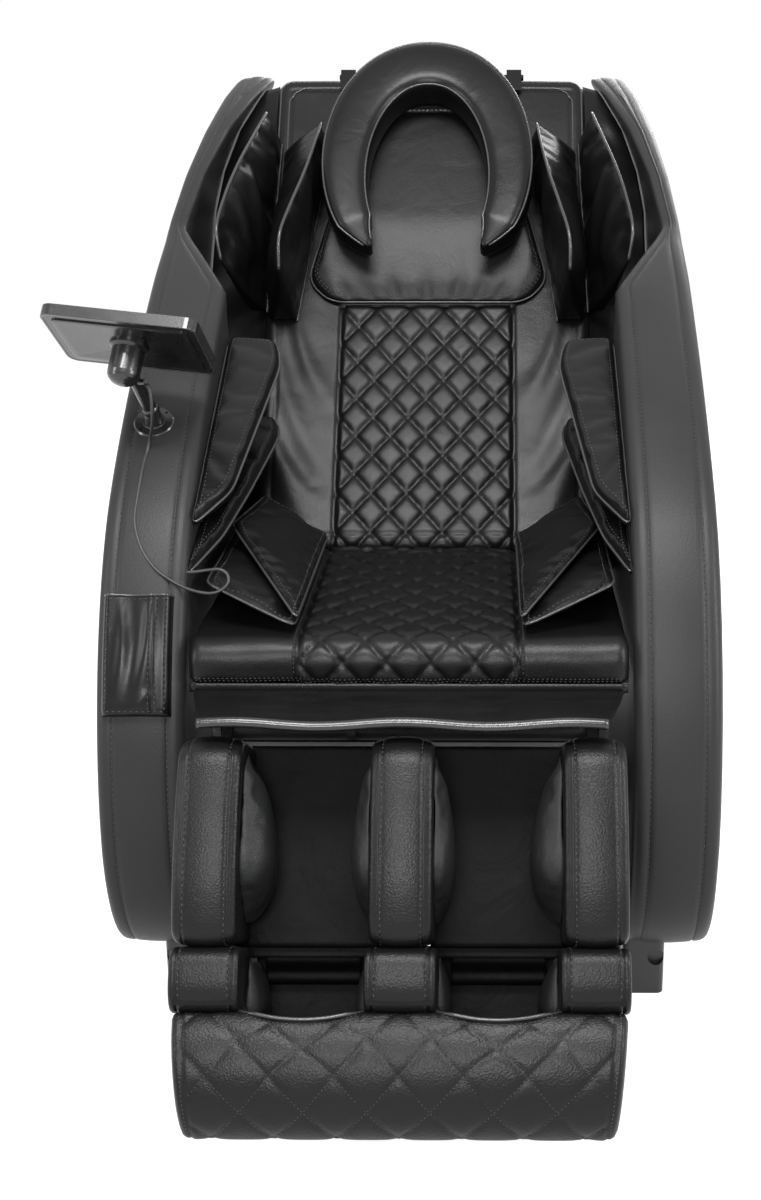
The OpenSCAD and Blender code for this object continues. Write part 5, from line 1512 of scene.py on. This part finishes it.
def step_in(width, depth):
    """Insets the selected face and moves it along the tablet's depth."""
    bpy.ops.mesh.inset(thickness=width)
    bpy.ops.transform.translate(value=(0, depth, 0))


def seat_on_ball(obj):
    """Ends the modelling of a plate and turns it onto the ball."""
    bpy.ops.object.mode_set(mode="OBJECT")
    obj.data.transform(TABLET_PLACE)
    bpy.ops.object.shade_smooth_by_angle(angle=math.radians(40))
    declare(obj, "tablet", "black_plastic")


RIM_AT, RIM_DEEP = 0.0252, 0.0032
rim = plate("tablet_rim", (0.1916, RIM_DEEP, 0.1336), RIM_AT, 0.014, RIM)
select_where(rim, "FACE", lambda middle, normal: abs(normal.y) > 0.9)
bpy.ops.mesh.inset(thickness=0.0034)
select_where(rim, "FACE", lambda middle, normal: abs(normal.y) > 0.9 and abs(middle.x) < 0.05
             and abs(middle.z) < 0.03)
bpy.ops.mesh.bridge_edge_loops()
select_where(rim, "EDGE", lambda middle, way: abs(way.y) < 0.1
             and abs(abs(middle.y - RIM_AT) - RIM_DEEP / 2) < 1e-5)
bpy.ops.mesh.bevel(offset=0.0009, segments=3, affect="EDGES")
bpy.ops.mesh.select_all(action="SELECT")
bpy.ops.mesh.normals_make_consistent(inside=False)
seat_on_ball(rim)

cover = plate("tablet_cover", (0.168, 0.0018, 0.110), 0.0233, 0.008, HOLDER)
select_where(cover, "FACE", lambda middle, normal: normal.y < -0.9)
step_in(0.0022, -0.0005)
step_in(0.006, 0.0004)
seat_on_ball(cover)

glass = plate("tablet_glass", (0.1730, 0.0009, 0.1150), 0.03755, 0.003, GLASS)
select_where(glass, "FACE", lambda middle, normal: normal.y > 0.9)
step_in(0.0008, 0.0002)
seat_on_ball(glass)

# ---------- Light and background ----------
# Large soft lamps: one overhead, one each side, one behind and a weak one in front, over a white floor and
# backdrop. Gloss and clear parts see the same white as the camera, and the lamps give nearly all the light.
# Listed are each lamp's place, size in metres, watts and the place it points at.
LAMPS = {
    "lamp_key": ((0, -1700, 3400), (1.8, 0.8), 128, (0, 0, 700)),
    "lamp_left": ((-2600, -1500, 1500), (0.5, 1.8), 34, (0, -100, 600)),
    "lamp_right": ((2600, -1300, 1600), (0.6, 1.8), 60, (0, -100, 600)),
    "lamp_front": ((-150, -3000, 1720), (0.9, 0.45), 46, (0, -600, 300)),
    "lamp_back": ((900, 3200, 2300), (2.4, 1.4), 90, (0, 200, 600)),
}
for name, (place, size, watts, aim) in LAMPS.items():
    data = bpy.data.lights.new(name, "AREA")
    data.shape = "RECTANGLE"
    data.size, data.size_y = size
    data.energy = watts
    obj = bpy.data.objects.new(name, data)
    bpy.context.collection.objects.link(obj)
    obj.location = row(place)
    obj.rotation_euler = Vector(np.array(aim) - np.array(place)).to_track_quat("-Z", "Y").to_euler()


def background_seen(tree):
    """One for rays from the camera, off glossy surfaces or through clear ones, and zero for light."""
    path = add_node(tree, "LightPath")
    total = path.outputs["Is Camera Ray"]
    for ray in ("Is Glossy Ray", "Is Transmission Ray"):
        join = add_node(tree, "Math", operation="MAXIMUM")
        link_nodes(tree, [(total, join.inputs[0]), (path.outputs[ray], join.inputs[1])])
        total = join.outputs[0]
    return total


def chosen(tree, lit, seen, end):
    """Light sees one shader and the camera the other."""
    choose = add_node(tree, "MixShader")
    link_nodes(tree, [(background_seen(tree), choose.inputs[0]), (lit.outputs[0], choose.inputs[1]),
                      (seen.outputs[0], choose.inputs[2]), (choose.outputs[0], end.inputs[0])])


WHITE = (1, 1, 1, 1)
world = bpy.data.worlds.new("white_room")
bpy.context.scene.world = world
world.use_nodes = True
tree = world.node_tree
for node in list(tree.nodes):
    tree.nodes.remove(node)
seen = add_node(tree, "Background", {"Color": WHITE})
lit = add_node(tree, "Background", {"Color": WHITE, "Strength": 0.12})
chosen(tree, lit, seen, add_node(tree, "OutputWorld"))
bpy.context.scene.view_settings.view_transform = "Standard"

bpy.ops.object.select_all(action="DESELECT")
bpy.ops.mesh.primitive_plane_add(size=14, location=(MIDDLE, CREASE, -0.0005))
floor = bpy.context.active_object
floor.name = "floor"
floor_mat = bpy.data.materials.new("white_floor")
floor_mat.use_nodes = True
tree = floor_mat.node_tree
bsdf = tree.nodes["Principled BSDF"]
bsdf.inputs["Base Color"].default_value = (0.35, 0.35, 0.35, 1)
bsdf.inputs["Roughness"].default_value = 0.9
glow = add_node(tree, "Emission", {"Strength": 0.92})
both = add_node(tree, "AddShader")
link_nodes(tree, [(glow.outputs[0], both.inputs[0]), (bsdf.outputs[0], both.inputs[1])])
chosen(tree, bsdf, both, tree.nodes["Material Output"])
floor.data.materials.append(floor_mat)
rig.stage(floor)

visual_low, visual_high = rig.bounds()
with open("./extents.json", "w") as out_file:
    json.dump({"cad": [list(cad_low), list(cad_high)], "visual": [list(visual_low), list(visual_high)]}, out_file)
